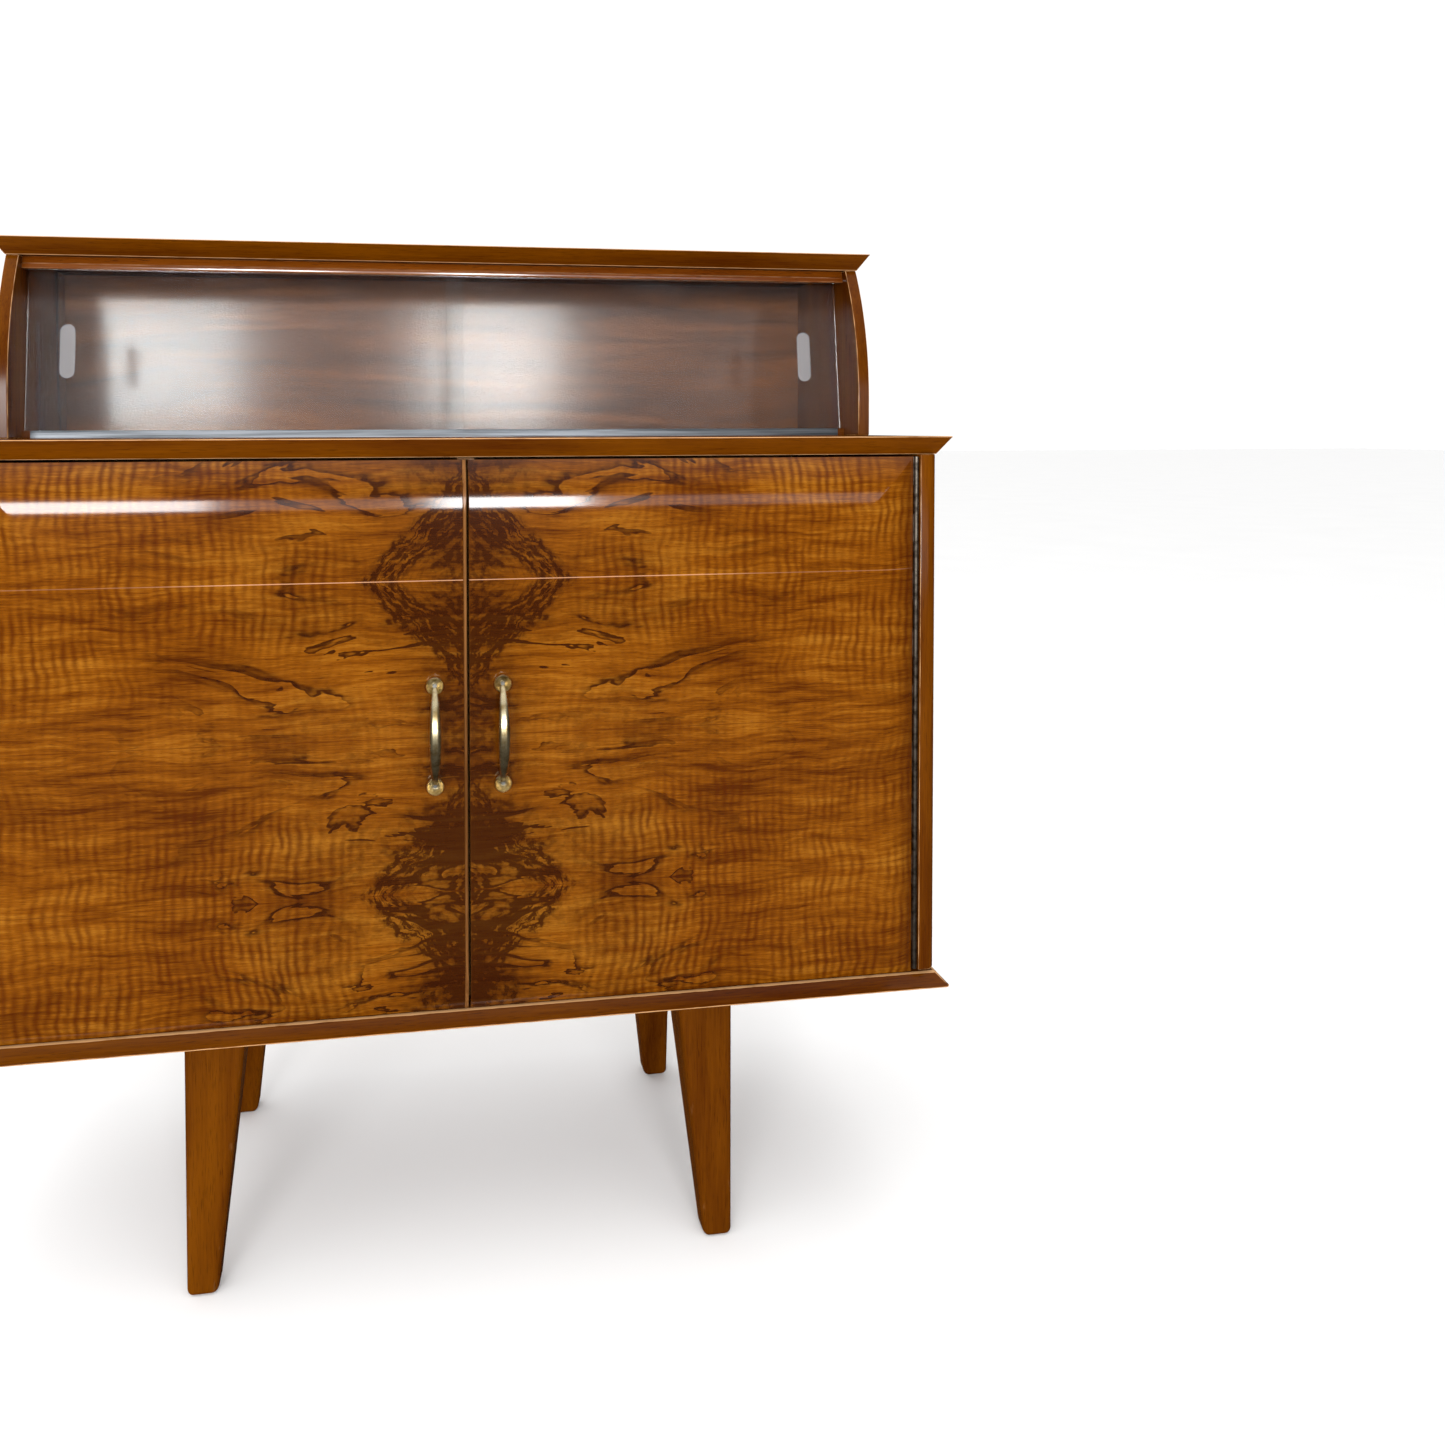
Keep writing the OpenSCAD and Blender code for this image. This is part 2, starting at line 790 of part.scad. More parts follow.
module upper_dowel_places(grow = 0) {
    at_both() for (d = upper_dowel_set)
        translate([upper_in + upper_side_t / 2, fy(d), z_ceil - thin_dowel_in - grow])
            cylinder(d = thin_dowel_d + 2 * grow, h = thin_dowel + thin_dowel_in + 2 * grow);
}

module upper_dowels() { color("burlywood") upper_dowel_places(); }

// The right-hand side of the glazed section
module upper_side() {
    depth = body_d - upper_set;
    height = z_ceil - z_deck;
    difference() {
        translate([upper_in, fy(upper_set), z_deck]) rotate([90, 0, 90])
            linear_extrude(upper_side_t) difference() {
                square([depth, height]);
                translate([-cut, curve_foot]) difference() {
                    square([curve_back + cut, curve_h + cut]);
                    translate([curve_r + cut, 0]) circle(curve_r, $fn = 720);
                }
            }
        translate([upper_in - cut, fy(body_d - back_t), z_deck - cut])
            cube([rabbet + cut, back_t + cut, height + 2 * cut]);
        upper_dowel_places(fit);
        deck_dowel_places(fit);
        upper_back_screw_places(true);
        rail_dowel_places(fit);
    }
}

module upper_side_right() { color("chocolate") upper_side(); }

module upper_side_left() { color("chocolate") on_left() upper_side(); }

module upper_top() {
    color("sienna") difference() {
        translate([0, fy(upper_front), z_ceil])
            bevelled_board(upper_top_w, body_d - upper_front, upper_t, upper_bevel);
        upper_dowel_places(fit);
    }
}

module upper_back_screw_places(hole = false) {
    for (x = [-1, 1] * (upper_in + rabbet / 2), z = spread(3, z_ceil - z_deck, 40))
        translate([x, fy(body_d), z_deck + z]) rotate([90, 0, 0])
            if (hole) screw_hole(back_screw);
            else screw(back_screw);
}

module upper_back_screws() { color("goldenrod") upper_back_screw_places(); }

module upper_back_panel() {
    half = upper_in + rabbet - end_fit / 2;
    color("saddlebrown") difference() {
        translate([-half, fy(body_d - back_t), z_deck])
            cube([2 * half, back_t, z_ceil - z_deck]);
        upper_back_screw_places(true);
    }
}

module rail_dowel_places(grow = 0) {
    at_both() translate([upper_in - thin_dowel_in - grow, fy(rail_front + rail_t - thin_dowel_d),
            z_ceil - rail_h / 2]) rotate([0, 90, 0])
        cylinder(d = thin_dowel_d + 2 * grow, h = thin_dowel + thin_dowel_in + 2 * grow);
}

module rail_dowels() { color("burlywood") rail_dowel_places(); }

// Moulded rail: an upright lower face, and an upper face that slopes back
module front_rail() {
    nose = rail_h * 0.45;
    slope = 6;
    color("peru") difference() {
        translate([-upper_in, fy(rail_front), z_ceil - rail_h]) rotate([90, 0, 90])
            linear_extrude(2 * upper_in)
                polygon([[0, 0], [0, nose], [slope, rail_h], [rail_t, rail_h], [rail_t, 0]]);
        rail_dowel_places(fit);
    }
}

// Frame of the glass: y = 0 on the front pane's face, z along the pane from the deck
module lean() {
    translate([0, fy(glass_y), z_deck]) rotate([-glass_lean, 0, 0]) children();
}

// Room for both panes in a channel strip, between two heights along the glass
module channels(low, high) {
    lean() for (y = [0, glass_t + glass_gap])
        translate([-body_w, y - slide_fit, low])
            cube([2 * body_w, glass_t + 2 * slide_fit, high - low]);
}

module bottom_strip(x0, length) {
    difference() {
        translate([x0, fy(glass_y - track_lead), z_deck]) cube([length, track_d, track_h]);
        channels(channel_floor, channel_floor + track_h + cut);
    }
}

module bottom_track() {
    color("lightsteelblue") bottom_strip(block_w - upper_in, 2 * (upper_in - block_w));
}

module track_end_blocks() {
    color("peru") {
        bottom_strip(-upper_in, block_w);
        bottom_strip(upper_in - block_w, block_w);
    }
}

module top_track() {
    front = rail_front + rail_t;
    back = glass_y + (pane_high + cut) * sin(glass_lean) + 2 * glass_t + glass_gap + track_lead;
    color("peru") difference() {
        translate([-upper_in, fy(front), z_ceil - top_track_h])
            cube([2 * upper_in, back - front, top_track_h]);
        channels(track_under - top_track_h, track_under + channel_top);
    }
}

// A pane from its outer edge at x = 0 towards the middle, with its ground finger pull
module pane() {
    half_pull = (pull_h - pull_w) / 2;
    difference() {
        translate([0, 0, pane_low]) cube([pane_w, glass_t, pane_high - pane_low]);
        translate([pull_x, pull_deep, pull_z]) rotate([90, 0, 0]) {
            translate([-pull_w / 2, -half_pull, 0]) cube([pull_w, 2 * half_pull, pull_deep + cut]);
            for (s = [-1, 1]) translate([0, s * half_pull, 0])
                cylinder(d = pull_w, h = pull_deep + cut);
        }
    }
}

module glass_left() {
    color("lightcyan", 0.5) lean() translate([end_fit - upper_in, 0, 0]) pane();
}

module glass_right() {
    color("lightcyan", 0.5) lean() translate([upper_in - end_fit, glass_t + glass_gap, 0])
        mirror([1, 0, 0]) pane();
}

lower_top();
bottom_board();
cupboard_floor();
side_left();
side_right();
centre_divider();
lower_back_panel();
lower_back_screws();
shelf_left();
shelf_right();
shelf_pins();
carcass_dowels();
leg_front_left();
leg_front_right();
leg_rear_left();
leg_rear_right();
leg_plates();
leg_studs();
leg_plate_screws();
door_left_panel();
door_right_panel();
door_meeting_bead();
hinge_left_frame_leaf();
hinge_left_door_leaf();
hinge_left_pin();
hinge_left_frame_screws();
hinge_left_door_screws();
hinge_right_frame_leaf();
hinge_right_door_leaf();
hinge_right_pin();
hinge_right_frame_screws();
hinge_right_door_screws();
handle_left_bow();
handle_left_cups();
handle_left_bolts();
handle_right_bow();
handle_right_cups();
handle_right_bolts();
catch_magnets();
catch_magnet_screws();
catch_plate_left();
catch_plate_right();
catch_plate_left_screws();
catch_plate_right_screws();
upper_side_left();
upper_side_right();
upper_top();
upper_back_panel();
upper_back_screws();
front_rail();
rail_dowels();
upper_dowels();
deck_dowels();
top_track();
bottom_track();
track_end_blocks();
glass_left();
glass_right();
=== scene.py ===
# %% [markdown]
# # A glazed display sideboard
# The cabinet has two walnut-veneered doors between bevelled boards, four tapered legs, and a
# shallower raised section behind two sliding panes. The engineered model holds every piece at its
# real size. This script gives those pieces their finish, and makes again, with soft arrises and
# true curves, the ones that the eye meets first.

# %% Load the frame
import json
import math

import bmesh
import bpy
from mathutils import Matrix, Vector


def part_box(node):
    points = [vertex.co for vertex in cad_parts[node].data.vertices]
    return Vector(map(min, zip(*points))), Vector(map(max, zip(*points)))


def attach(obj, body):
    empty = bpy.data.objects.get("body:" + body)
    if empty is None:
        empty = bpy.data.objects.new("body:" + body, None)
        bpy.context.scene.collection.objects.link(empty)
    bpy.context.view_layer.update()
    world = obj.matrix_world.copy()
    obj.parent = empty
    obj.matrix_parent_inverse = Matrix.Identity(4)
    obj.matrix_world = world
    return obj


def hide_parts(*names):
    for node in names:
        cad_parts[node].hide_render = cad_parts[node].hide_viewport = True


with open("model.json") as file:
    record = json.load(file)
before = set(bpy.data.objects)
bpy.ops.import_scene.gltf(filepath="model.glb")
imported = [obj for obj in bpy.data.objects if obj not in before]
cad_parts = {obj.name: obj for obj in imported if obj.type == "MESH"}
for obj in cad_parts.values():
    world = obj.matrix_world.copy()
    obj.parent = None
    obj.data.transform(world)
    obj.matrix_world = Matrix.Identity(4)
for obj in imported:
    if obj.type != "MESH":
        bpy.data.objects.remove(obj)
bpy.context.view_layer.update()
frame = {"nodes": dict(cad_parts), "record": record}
record = frame["record"]
print("pieces in the frame:", len(frame["nodes"]))

# %% [markdown]
# ## Places
# Every size is read from the frame's own boxes, so that a change of the design moves the finish
# with it. The corner pairs below are the ones that several steps need.

# %% Read the main boxes
MM = 0.001
deck_low, deck_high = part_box("lower_top")
door_low, door_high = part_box("door_right_panel")
side_low, side_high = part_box("side_right")
upper_low, upper_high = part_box("upper_side_right")
pane_low, pane_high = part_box("glass_left")
print("deck at", round(deck_high.z, 4), "door height", round(door_high.z - door_low.z, 4))

# %% [markdown]
# ## Camera
# The cabinet is seen from just above its deck, from a little left of the middle and turned to the
# right. Shifting the lens, instead of tilting the camera down to the legs, keeps the cabinet's
# uprights nearly parallel. The Standard view keeps the stain's strong browns as they are mixed.

# %% Place the camera
EYE_LEFT = 63 * MM
EYE_IN_FRONT = 1141 * MM
EYE_ABOVE_DECK = 9 * MM
look_down, turn_right, roll = (math.radians(a) for a in (1.46, 8.66, 0.17))

lens = bpy.data.cameras.new("view")
lens.lens = 27.4
lens.shift_x = 0.1035
lens.shift_y = -0.1836
camera = bpy.data.objects.new("view", lens)
camera.location = (-EYE_LEFT, deck_low.y - EYE_IN_FRONT, deck_high.z + EYE_ABOVE_DECK)
aim = Matrix.Rotation(-turn_right, 4, "Z") @ Matrix.Rotation(math.pi / 2 - look_down, 4, "X")
camera.rotation_euler = (aim @ Matrix.Rotation(-roll, 4, "Z")).to_euler()
bpy.context.scene.collection.objects.link(camera)
bpy.context.scene.camera = camera
bpy.context.scene.view_settings.view_transform = "Standard"
print("camera at", [round(c, 3) for c in camera.location])

# %% [markdown]
# ## Floor
# The floor is one plain sheet, large enough to reach past the picture on every side. A grid with
# one segment is all that a flat sheet needs.

# %% Floor
SHEET_HALF = 40

floor_mesh = bpy.data.meshes.new("floor")
sheet = bmesh.new()
bmesh.ops.create_grid(sheet, x_segments=1, y_segments=1, size=SHEET_HALF)
sheet.to_mesh(floor_mesh)
sheet.free()
floor = bpy.data.objects.new("floor", floor_mesh)
bpy.context.scene.collection.objects.link(floor)
print("floor laid")

# %% [markdown]
# ## Lamps
# Polished curved doors only read as polished when they have something bright and narrow to mirror.
# So two soft windows of unequal width stand behind the camera, with a faint long wall around them,
# and the panes and the door rolls repeat them. A wide warm lamp overhead gives most of the light.
# It is hidden from mirror-like rays, because its reflection would veil the deck.

# %% Lamps
def soft_lamp(name, place, target, width, height, power, colour=(1, 1, 1)):
    lamp = bpy.data.lights.new(name, "AREA")
    lamp.shape = "RECTANGLE"
    lamp.size = width
    lamp.size_y = height
    lamp.energy = power
    lamp.color = colour
    holder = bpy.data.objects.new(name, lamp)
    holder.location = place
    aim_at = Vector(target) - Vector(place)
    holder.rotation_euler = aim_at.to_track_quat("-Z", "Y").to_euler()
    bpy.context.scene.collection.objects.link(holder)
    return holder


WARM = (1.0, 0.985, 0.96)
WINDOW_TALL = 0.6
window_y = deck_low.y - 3.0
window_z = 1.22
soft_lamp("window_left", (-1.27, window_y, window_z), (-0.5, 0, 1.1), 0.97, WINDOW_TALL, 40)
soft_lamp("window_right", (0.33, window_y, window_z), (0.3, 0, 1.1), 0.57, WINDOW_TALL, 33)
soft_lamp("far_wall", (0, window_y - 0.05, window_z), (0, 0, 1.1), 5.0, WINDOW_TALL, 16)
ceiling_at = (0.2, deck_low.y - 0.6, 3.2)
overhead = soft_lamp("ceiling", ceiling_at, (0, 0, 0.4), 3.2, 2.6, 30, WARM)
overhead.visible_glossy = False

# %% [markdown]
# ## Sky
# The sky plays three parts, and a Light Path node tells them apart. The camera sees plain white.
# Mirror-like rays meet a dark room with a glow overhead, which keeps the lacquer from turning milky.
# All other rays meet soft light that is stronger from the left. World sampling is off, because it
# would aim rays at one sky for all three parts.

# %% Sky
LEFT_LIGHT = 1.75
RIGHT_LIGHT = 0.45
DARK_ROOM = 0.04
CEILING_GLOW = 0.9
WHITE_PAPER = 1.05

sky = bpy.data.worlds.new("studio")
sky.use_nodes = True
sky.node_tree.nodes.clear()


def sky_node(kind, **sockets):
    """A node of the sky. A socket is named, or numbered as _0, _1 and so on."""
    made = sky.node_tree.nodes.new("ShaderNode" + kind)
    for key, value in sockets.items():
        socket = made.inputs[int(key[1:]) if key[1:].isdigit() else key]
        if isinstance(value, bpy.types.NodeSocket):
            sky.node_tree.links.new(value, socket)
        else:
            socket.default_value = value
    return made.outputs


rays = sky_node("LightPath")
heading = sky_node("SeparateXYZ", _0=sky_node("TexCoord")["Generated"])
to_the_side = sky_node("MapRange", _0=heading["X"], _1=-1.0, _2=1.0, _3=LEFT_LIGHT,
    _4=RIGHT_LIGHT)
overhead_glow = sky_node("MapRange", _0=heading["Z"], _1=0.35, _2=0.90, _3=DARK_ROOM,
    _4=CEILING_GLOW)
room = sky_node("Background", Strength=to_the_side[0], Color=(1, 1, 1, 1))
gloom = sky_node("Background", Strength=overhead_glow[0], Color=(1, 0.96, 0.9, 1))
paper = sky_node("Background", Strength=WHITE_PAPER, Color=(1, 1, 1, 1))
unseen = sky_node("MixShader", _0=rays["Is Glossy Ray"], _1=room[0], _2=gloom[0])
shown_sky = sky_node("MixShader", _0=rays["Is Camera Ray"], _1=unseen[0], _2=paper[0])
sky_node("OutputWorld", Surface=shown_sky[0])
bpy.context.scene.world = sky
sky.cycles.sampling_method = "NONE"
print("sky nodes:", len(sky.node_tree.nodes))

# %% [markdown]
# ## Shader sums
# A finish is mostly arithmetic on patterns. Wiring that by hand hides the idea, so a small class
# wraps one output and lets Python's own operators add the Math nodes.

# %% Wire
class Wire:
    """One output of a node, with arithmetic."""

    def __init__(self, paint, socket):
        self.paint = paint
        self.socket = socket

    def op(self, operation, *others):
        return self.paint.node("Math", {"operation": operation}, [self, *others])

    def __add__(self, other):
        return self.op("ADD", other)

    __radd__ = __add__

    def __sub__(self, other):
        return self.op("SUBTRACT", other)

    def __rsub__(self, other):
        return self.paint.node("Math", {"operation": "SUBTRACT"}, [other, self])

    def __mul__(self, other):
        return self.op("MULTIPLY", other)

    __rmul__ = __mul__

    def __truediv__(self, other):
        return self.op("DIVIDE", other)

    def __abs__(self):
        return self.op("ABSOLUTE")

    def step(self, low, high):
        """0 below low and 1 above high, with a soft passage between them."""
        return self.paint.node("MapRange", {"interpolation_type": "SMOOTHSTEP"}, [self, low, high])


print("wires can be added, taken away, multiplied and divided")

# %% [markdown]
# ## Paint
# Everything that isn't a sum comes from one method, which takes a node's kind, its settings and its
# sockets. The rest of the class only names the calls that every finish makes: where am I on the
# piece, a noise there, a mix of two colours, a ramp, and a bump.

# %% Paint
class Paint:
    """A material under way: one Principled shader and the nodes that feed it."""

    def __init__(self, name, **constants):
        self.material = bpy.data.materials.new(name)
        self.material.use_nodes = True
        self.tree = self.material.node_tree
        self.shader = self.tree.nodes["Principled BSDF"]
        for key, value in constants.items():
            self.shader.inputs[key.replace("_", " ")].default_value = value

    def node(self, kind, settings=None, sockets=(), out=0):
        made = self.tree.nodes.new("ShaderNode" + kind)
        for key, value in (settings or {}).items():
            if key == "stops":
                self.set_stops(made.color_ramp, value)
            else:
                setattr(made, key, value)
        pairs = sockets.items() if isinstance(sockets, dict) else enumerate(sockets)
        for key, value in pairs:
            self.plug(made.inputs[key], value)
        return Wire(self, made.outputs[out])

    def set_stops(self, ramp, stops):
        while len(ramp.elements) > 1:
            ramp.elements.remove(ramp.elements[-1])
        ramp.elements[0].position = stops[0][0]
        ramp.elements[0].color = stops[0][1]
        for place, colour in stops[1:]:
            ramp.elements.new(place).color = colour

    def plug(self, socket, value):
        if isinstance(value, Wire):
            self.tree.links.new(value.socket, socket)
        else:
            socket.default_value = value

    def feed(self, **sockets):
        for key, value in sockets.items():
            self.plug(self.shader.inputs[key.replace("_", " ")], value)

    def main_shader(self):
        return Wire(self, self.shader.outputs[0])

    def show(self, shader):
        """Put another shader on the surface in place of the main one."""
        self.plug(self.tree.nodes["Material Output"].inputs["Surface"], shader)

    def axes(self):
        place = self.node("TexCoord", out=3)
        return [self.node("SeparateXYZ", None, [place], out=i) for i in range(3)]

    def noise(self, x, y, z, detail=2.0, rough=0.5, twist=0.0):
        """Noise at a point whose parts are already in cells of the pattern."""
        point = self.node("CombineXYZ", None, [x, y, z])
        return self.node("TexNoise", None, {"Vector": point, "Scale": 1.0, "Detail": detail,
            "Roughness": rough, "Distortion": twist})

    def wear(self):
        """The mask of rubbed arrises that a mesh carries."""
        return self.node("Attribute", {"attribute_name": "wear"}, out=2)

    def mix(self, share, a, b):
        return self.node("Mix", {"data_type": "RGBA"}, {0: share, 6: a, 7: b}, out=2)

    def ramp(self, value, stops):
        return self.node("ValToRGB", {"stops": stops}, [value])

    def bump(self, height, strength, distance):
        self.feed(Normal=self.node("Bump", None,
            {"Strength": strength, "Distance": distance, "Height": height}))


def tint(red, green, blue):
    """A colour as it shows on a screen, 0 to 255, as the shader wants it."""
    return (*((c / 255) ** 2.2 for c in (red, green, blue)), 1.0)


print("paint ready, mid grey is", [round(c, 3) for c in tint(128, 128, 128)])

# %% [markdown]
# ## Solid trim
# The boards, the sides, the legs and the rail are solid wood stained orange-brown under a satin
# lacquer. Three things make it read as wood: long colour streaks, short dark pores that also dent
# the lacquer, and arrises where years of dusting have taken the stain off. The arris mask can't be
# guessed by the shader, so the mesh carries it as an attribute named wear. The shine comes from the
# coat alone, since a second gloss below it would grey the stain.

# %% Solid trim finish
RUBBED = tint(196, 150, 104)


def stained_wood(name, along, dark, light, streaks=26.0, gloss=0.38, coat=0.35):
    """Wood with its grain along one axis, streaks to the metre and a roughness named gloss."""
    paint = Paint(name, Coat_Weight=coat, Coat_Roughness=0.16, Specular_IOR_Level=0.0)
    parts = paint.axes()
    run = parts.pop("xyz".index(along))
    side_a, side_b = parts
    sway = (paint.noise(run * 2.4, side_a * 3, side_b * 3) - 0.5) * 0.05
    band = paint.noise(run * 1.6, (side_a + sway) * streaks, (side_b + sway) * streaks, 4, 0.6)
    fibre = paint.noise(run * 18, side_a * 620, side_b * 620, 2)
    pores = paint.noise(run * 55, side_a * 1300, side_b * 1300, 1).step(0.60, 0.72)
    mottle = paint.noise(run * 6, side_a * 9, side_b * 9, 3)
    wood = paint.ramp(band * 0.7 + fibre * 0.2 + mottle * 0.1, [(0.36, dark), (0.62, light)])
    pore_colour = (*(c * 0.35 for c in dark[:3]), 1)
    wood = paint.mix(pores * 0.5, wood, pore_colour)
    patchy = paint.noise(run * 38, side_a * 90, side_b * 90, 3).step(0.25, 0.75)
    rubbed = (paint.wear() * 1.1 - patchy * 0.55).step(0.30, 0.75)
    paint.feed(Base_Color=paint.mix(rubbed * 0.8, wood, RUBBED),
        Roughness=fibre * 0.12 + (gloss - 0.06) + rubbed * 0.2)
    paint.bump(fibre * 0.3 - pores, 0.14, 0.0004)
    return paint.material


trim_x = stained_wood("trim_along_x", "x", tint(68, 32, 2), tint(101, 56, 5))
trim_z = stained_wood("trim_along_z", "z", tint(66, 31, 2), tint(99, 55, 6))
print("trim finishes made")

# %% [markdown]
# ## Other plain woods
# The same recipe, with other stains, dresses what is seen less: the lining and its shelves, the
# beech dowels and the pale bead on the meeting edge. The rail has the fullest polish of all, so its
# coat is given a higher index, which makes it mirror the windows strongly.

# %% Other plain woods
LINING_DARK = tint(120, 78, 42)
LINING_LIGHT = tint(164, 118, 72)
RAIL_COAT_IOR = 2.0

lining = stained_wood("lining_wood", "z", LINING_DARK, LINING_LIGHT, gloss=0.55, coat=0.1)
lining_x = stained_wood("lining_along_x", "x", LINING_DARK, LINING_LIGHT, gloss=0.55, coat=0.1)
beech = stained_wood("dowel_beech", "z", tint(196, 160, 118), tint(222, 192, 150), gloss=0.7,
    coat=0.0)
bead_wood = stained_wood("bead_wood", "z", tint(84, 52, 26), tint(124, 84, 48), streaks=160.0)
sheen_wood = stained_wood("rail_sheen", "x", tint(86, 40, 8), tint(122, 66, 16), gloss=0.3,
    coat=1.0)
sheen_shader = sheen_wood.node_tree.nodes["Principled BSDF"]
sheen_shader.inputs["Coat IOR"].default_value = RAIL_COAT_IOR
print("lining, beech, bead and rail finishes made")

# %% [markdown]
# ## Display back
# The board behind the panes is dark straight-grained walnut, polished thickly enough for its pores
# to pucker the surface. The puckers break up the windows' reflections, which is what tells the eye
# that there is polish behind the glass. A bump is enough, because nothing stands out in outline.

# %% Display back finish
def display_veneer():
    paint = Paint("display_veneer", Coat_Weight=0.9, Coat_Roughness=0.14,
        Specular_IOR_Level=0.1)
    x, y, z = paint.axes()
    sweep = paint.noise(x * 2.2, 5, z * 5, 2) * 0.06
    rings = paint.noise(x * 2.4, 1, (z + sweep) * 34, 4, 0.6, 0.6)
    strip = paint.noise(x * 3.2, 2, (z + sweep) * 9, 2)
    fibre = paint.noise(x * 45, 3, z * 1100, 2)
    pores = paint.noise(x * 95, 4, z * 1500, 2).step(0.56, 0.68)
    wood = paint.ramp(rings * 0.5 + strip * 0.35 + fibre * 0.15, [(0.36, tint(50, 26, 10)),
        (0.52, tint(92, 54, 26)), (0.66, tint(122, 74, 38))])
    wood = paint.mix(pores * 0.5, wood, tint(26, 14, 8))
    paint.feed(Base_Color=wood, Roughness=fibre * 0.15 + 0.38)
    orange_peel = paint.noise(x * 330, 6, z * 420, 2)
    paint.bump(orange_peel * 0.8 - pores * 0.8, 0.5, 0.002)
    return paint.material


display_wood = display_veneer()
print("display back finish made")

# %% [markdown]
# ## Figured walnut: the leaves
# The doors carry the show veneer. Leaves cut one after another from a walnut butt are turned like
# pages, so the figure is mirrored about the meeting line and again about each level joint. A mirror
# is one operation on a coordinate: the absolute value across, and a ping-pong upwards. Real leaves
# match imperfectly, so the folded coordinates also drift a little with the true height.

# %% Veneer leaf
LEAF = 162 * MM
JOINT = door_low.z + 131 * MM
DRIFT_ACROSS = 24 * MM
DRIFT_UP = 30 * MM


class Leaf:
    """Places on one leaf of veneer, and the fine patterns that several steps share."""

    def __init__(self, paint):
        self.paint = paint
        self.x, self.y, self.z = paint.axes()
        self.across = abs(self.x)
        self.up = (self.z - JOINT).op("PINGPONG", LEAF)
        stray_across = paint.noise(self.across * 8, self.z * 2, self.up * 11, 2) - 0.5
        stray_up = paint.noise(self.across * 8, self.z * 2 + 40, self.up * 9, 2) - 0.5
        self.a = self.across + stray_across * DRIFT_ACROSS
        self.b = self.up + stray_up * DRIFT_UP
        self.fibre = paint.noise(self.x * 38, 9, self.z * 900, 2)
        self.long_grain = self.pattern(9, 170, 3, 0.6, seed=5)
        self.knots = self.pattern(120, 120, 3, seed=17).step(0.42, 0.60)
        self.blots = self.pattern(60, 110, 3, change=3).step(0.42, 0.64)

    def pattern(self, wide, tall, detail, rough=0.5, twist=0.0, change=0.0, seed=0):
        """Noise on the folded leaf, that may change slowly with the true height."""
        depth = self.z * change + seed
        return self.paint.noise(self.a * wide, depth, self.b * tall, detail, rough, twist)


print("leaves", round(LEAF, 3), "high, first joint at", round(JOINT, 3))

# %% [markdown]
# ## Figured walnut: ground and curl
# Under everything lies an amber ground of slow clouds, long grain and fine fibre. Across it run the
# ripples of curled grain. They are a sine wave whose phase is pushed about by noise, broken along
# their length, and strong only away from the meeting line.

# %% Ground and curl
GROUND_DARK = tint(72, 35, 4)
GROUND_MIDDLE = tint(112, 63, 12)
GROUND_LIGHT = tint(140, 88, 26)
RIPPLE_RATE = 640


def amber_ground(leaf):
    cloud = leaf.pattern(5, 17, 4, 0.6, change=3)
    tone = cloud * 0.42 + leaf.long_grain * 0.36 + leaf.fibre * 0.22
    return leaf.paint.ramp(tone, [(0.38, GROUND_DARK), (0.50, GROUND_MIDDLE),
        (0.62, GROUND_LIGHT)])


def curl_ripples(leaf):
    lean = leaf.pattern(2.5, 6, 1, change=1.5, seed=60) * 30
    shake = leaf.pattern(26, 42, 2, change=6) * 6
    wave = (leaf.a * RIPPLE_RATE + lean + shake).op("SINE") * 0.5 + 0.5
    broken = leaf.pattern(55, 26, 2, seed=20).step(0.34, 0.58)
    patch = leaf.pattern(4, 10, 2, change=2.4, seed=20).step(0.36, 0.58)
    away = leaf.across.step(0.03, 0.20)
    return wave * (broken * 0.65 + 0.35) * away * (patch * 0.75 + 0.25)


print("ripples", round(2 * math.pi / RIPPLE_RATE / MM, 1), "mm apart")

# %% [markdown]
# ## Figured walnut: crotch
# Where the trunk forked, the grain crowds into dark feathers. On a folded leaf they fill the band
# between two slanting lines, so the four mirrored leaves close them into a diamond. The sum of two
# scaled coordinates is such a line. Streaks follow the band, and both its rims are darkest.

# %% Crotch
OUTER_WIDE = 112 * MM
OUTER_TALL = 117 * MM
INNER_WIDE = 72 * MM
INNER_TALL = 63 * MM


def crotch_feathers(leaf):
    ragged = (leaf.pattern(36, 36, 4, 0.65, seed=31) - 0.5) * 0.34
    outer = leaf.a / OUTER_WIDE + leaf.b / OUTER_TALL + ragged
    inner = leaf.a / INNER_WIDE + leaf.b / INNER_TALL + ragged
    band = (1 - outer.step(0.92, 1.03)) * inner.step(0.94, 1.10)
    along = leaf.a / OUTER_WIDE - leaf.b / OUTER_TALL
    streak = leaf.paint.noise(outer * 26, along * 3.5, 11, 3, 0.6).step(0.45, 0.57)
    outer_rim = (1 - abs(outer - 0.97) * 11).op("MAXIMUM", 0.0) * 0.6
    inner_rim = (1 - abs(inner - 1.05) * 7).op("MAXIMUM", 0.0) * 0.7
    feathers = band * (streak * 0.58 + leaf.knots * 0.10 + 0.06)
    rims = (outer_rim + inner_rim) * (leaf.knots * 0.4 + 0.25)
    return feathers + rims + streak * (1 - outer.step(0.9, 1.15)) * 0.22


print("crotch diamonds", round(2 * OUTER_WIDE, 3), "wide")

# %% [markdown]
# ## Figured walnut: veins and dark heart
# Smoky veins are the contours of one slow noise. Its fraction rises like a saw's tooth, which gives
# a soft shade that ends in a sharp dark line. They crowd into burl low down by the meeting line.
# There the heartwood is darkest, so a last mask darkens the middle of the cabinet.

# %% Veins and heart
BURL_LEVEL = 300 * MM


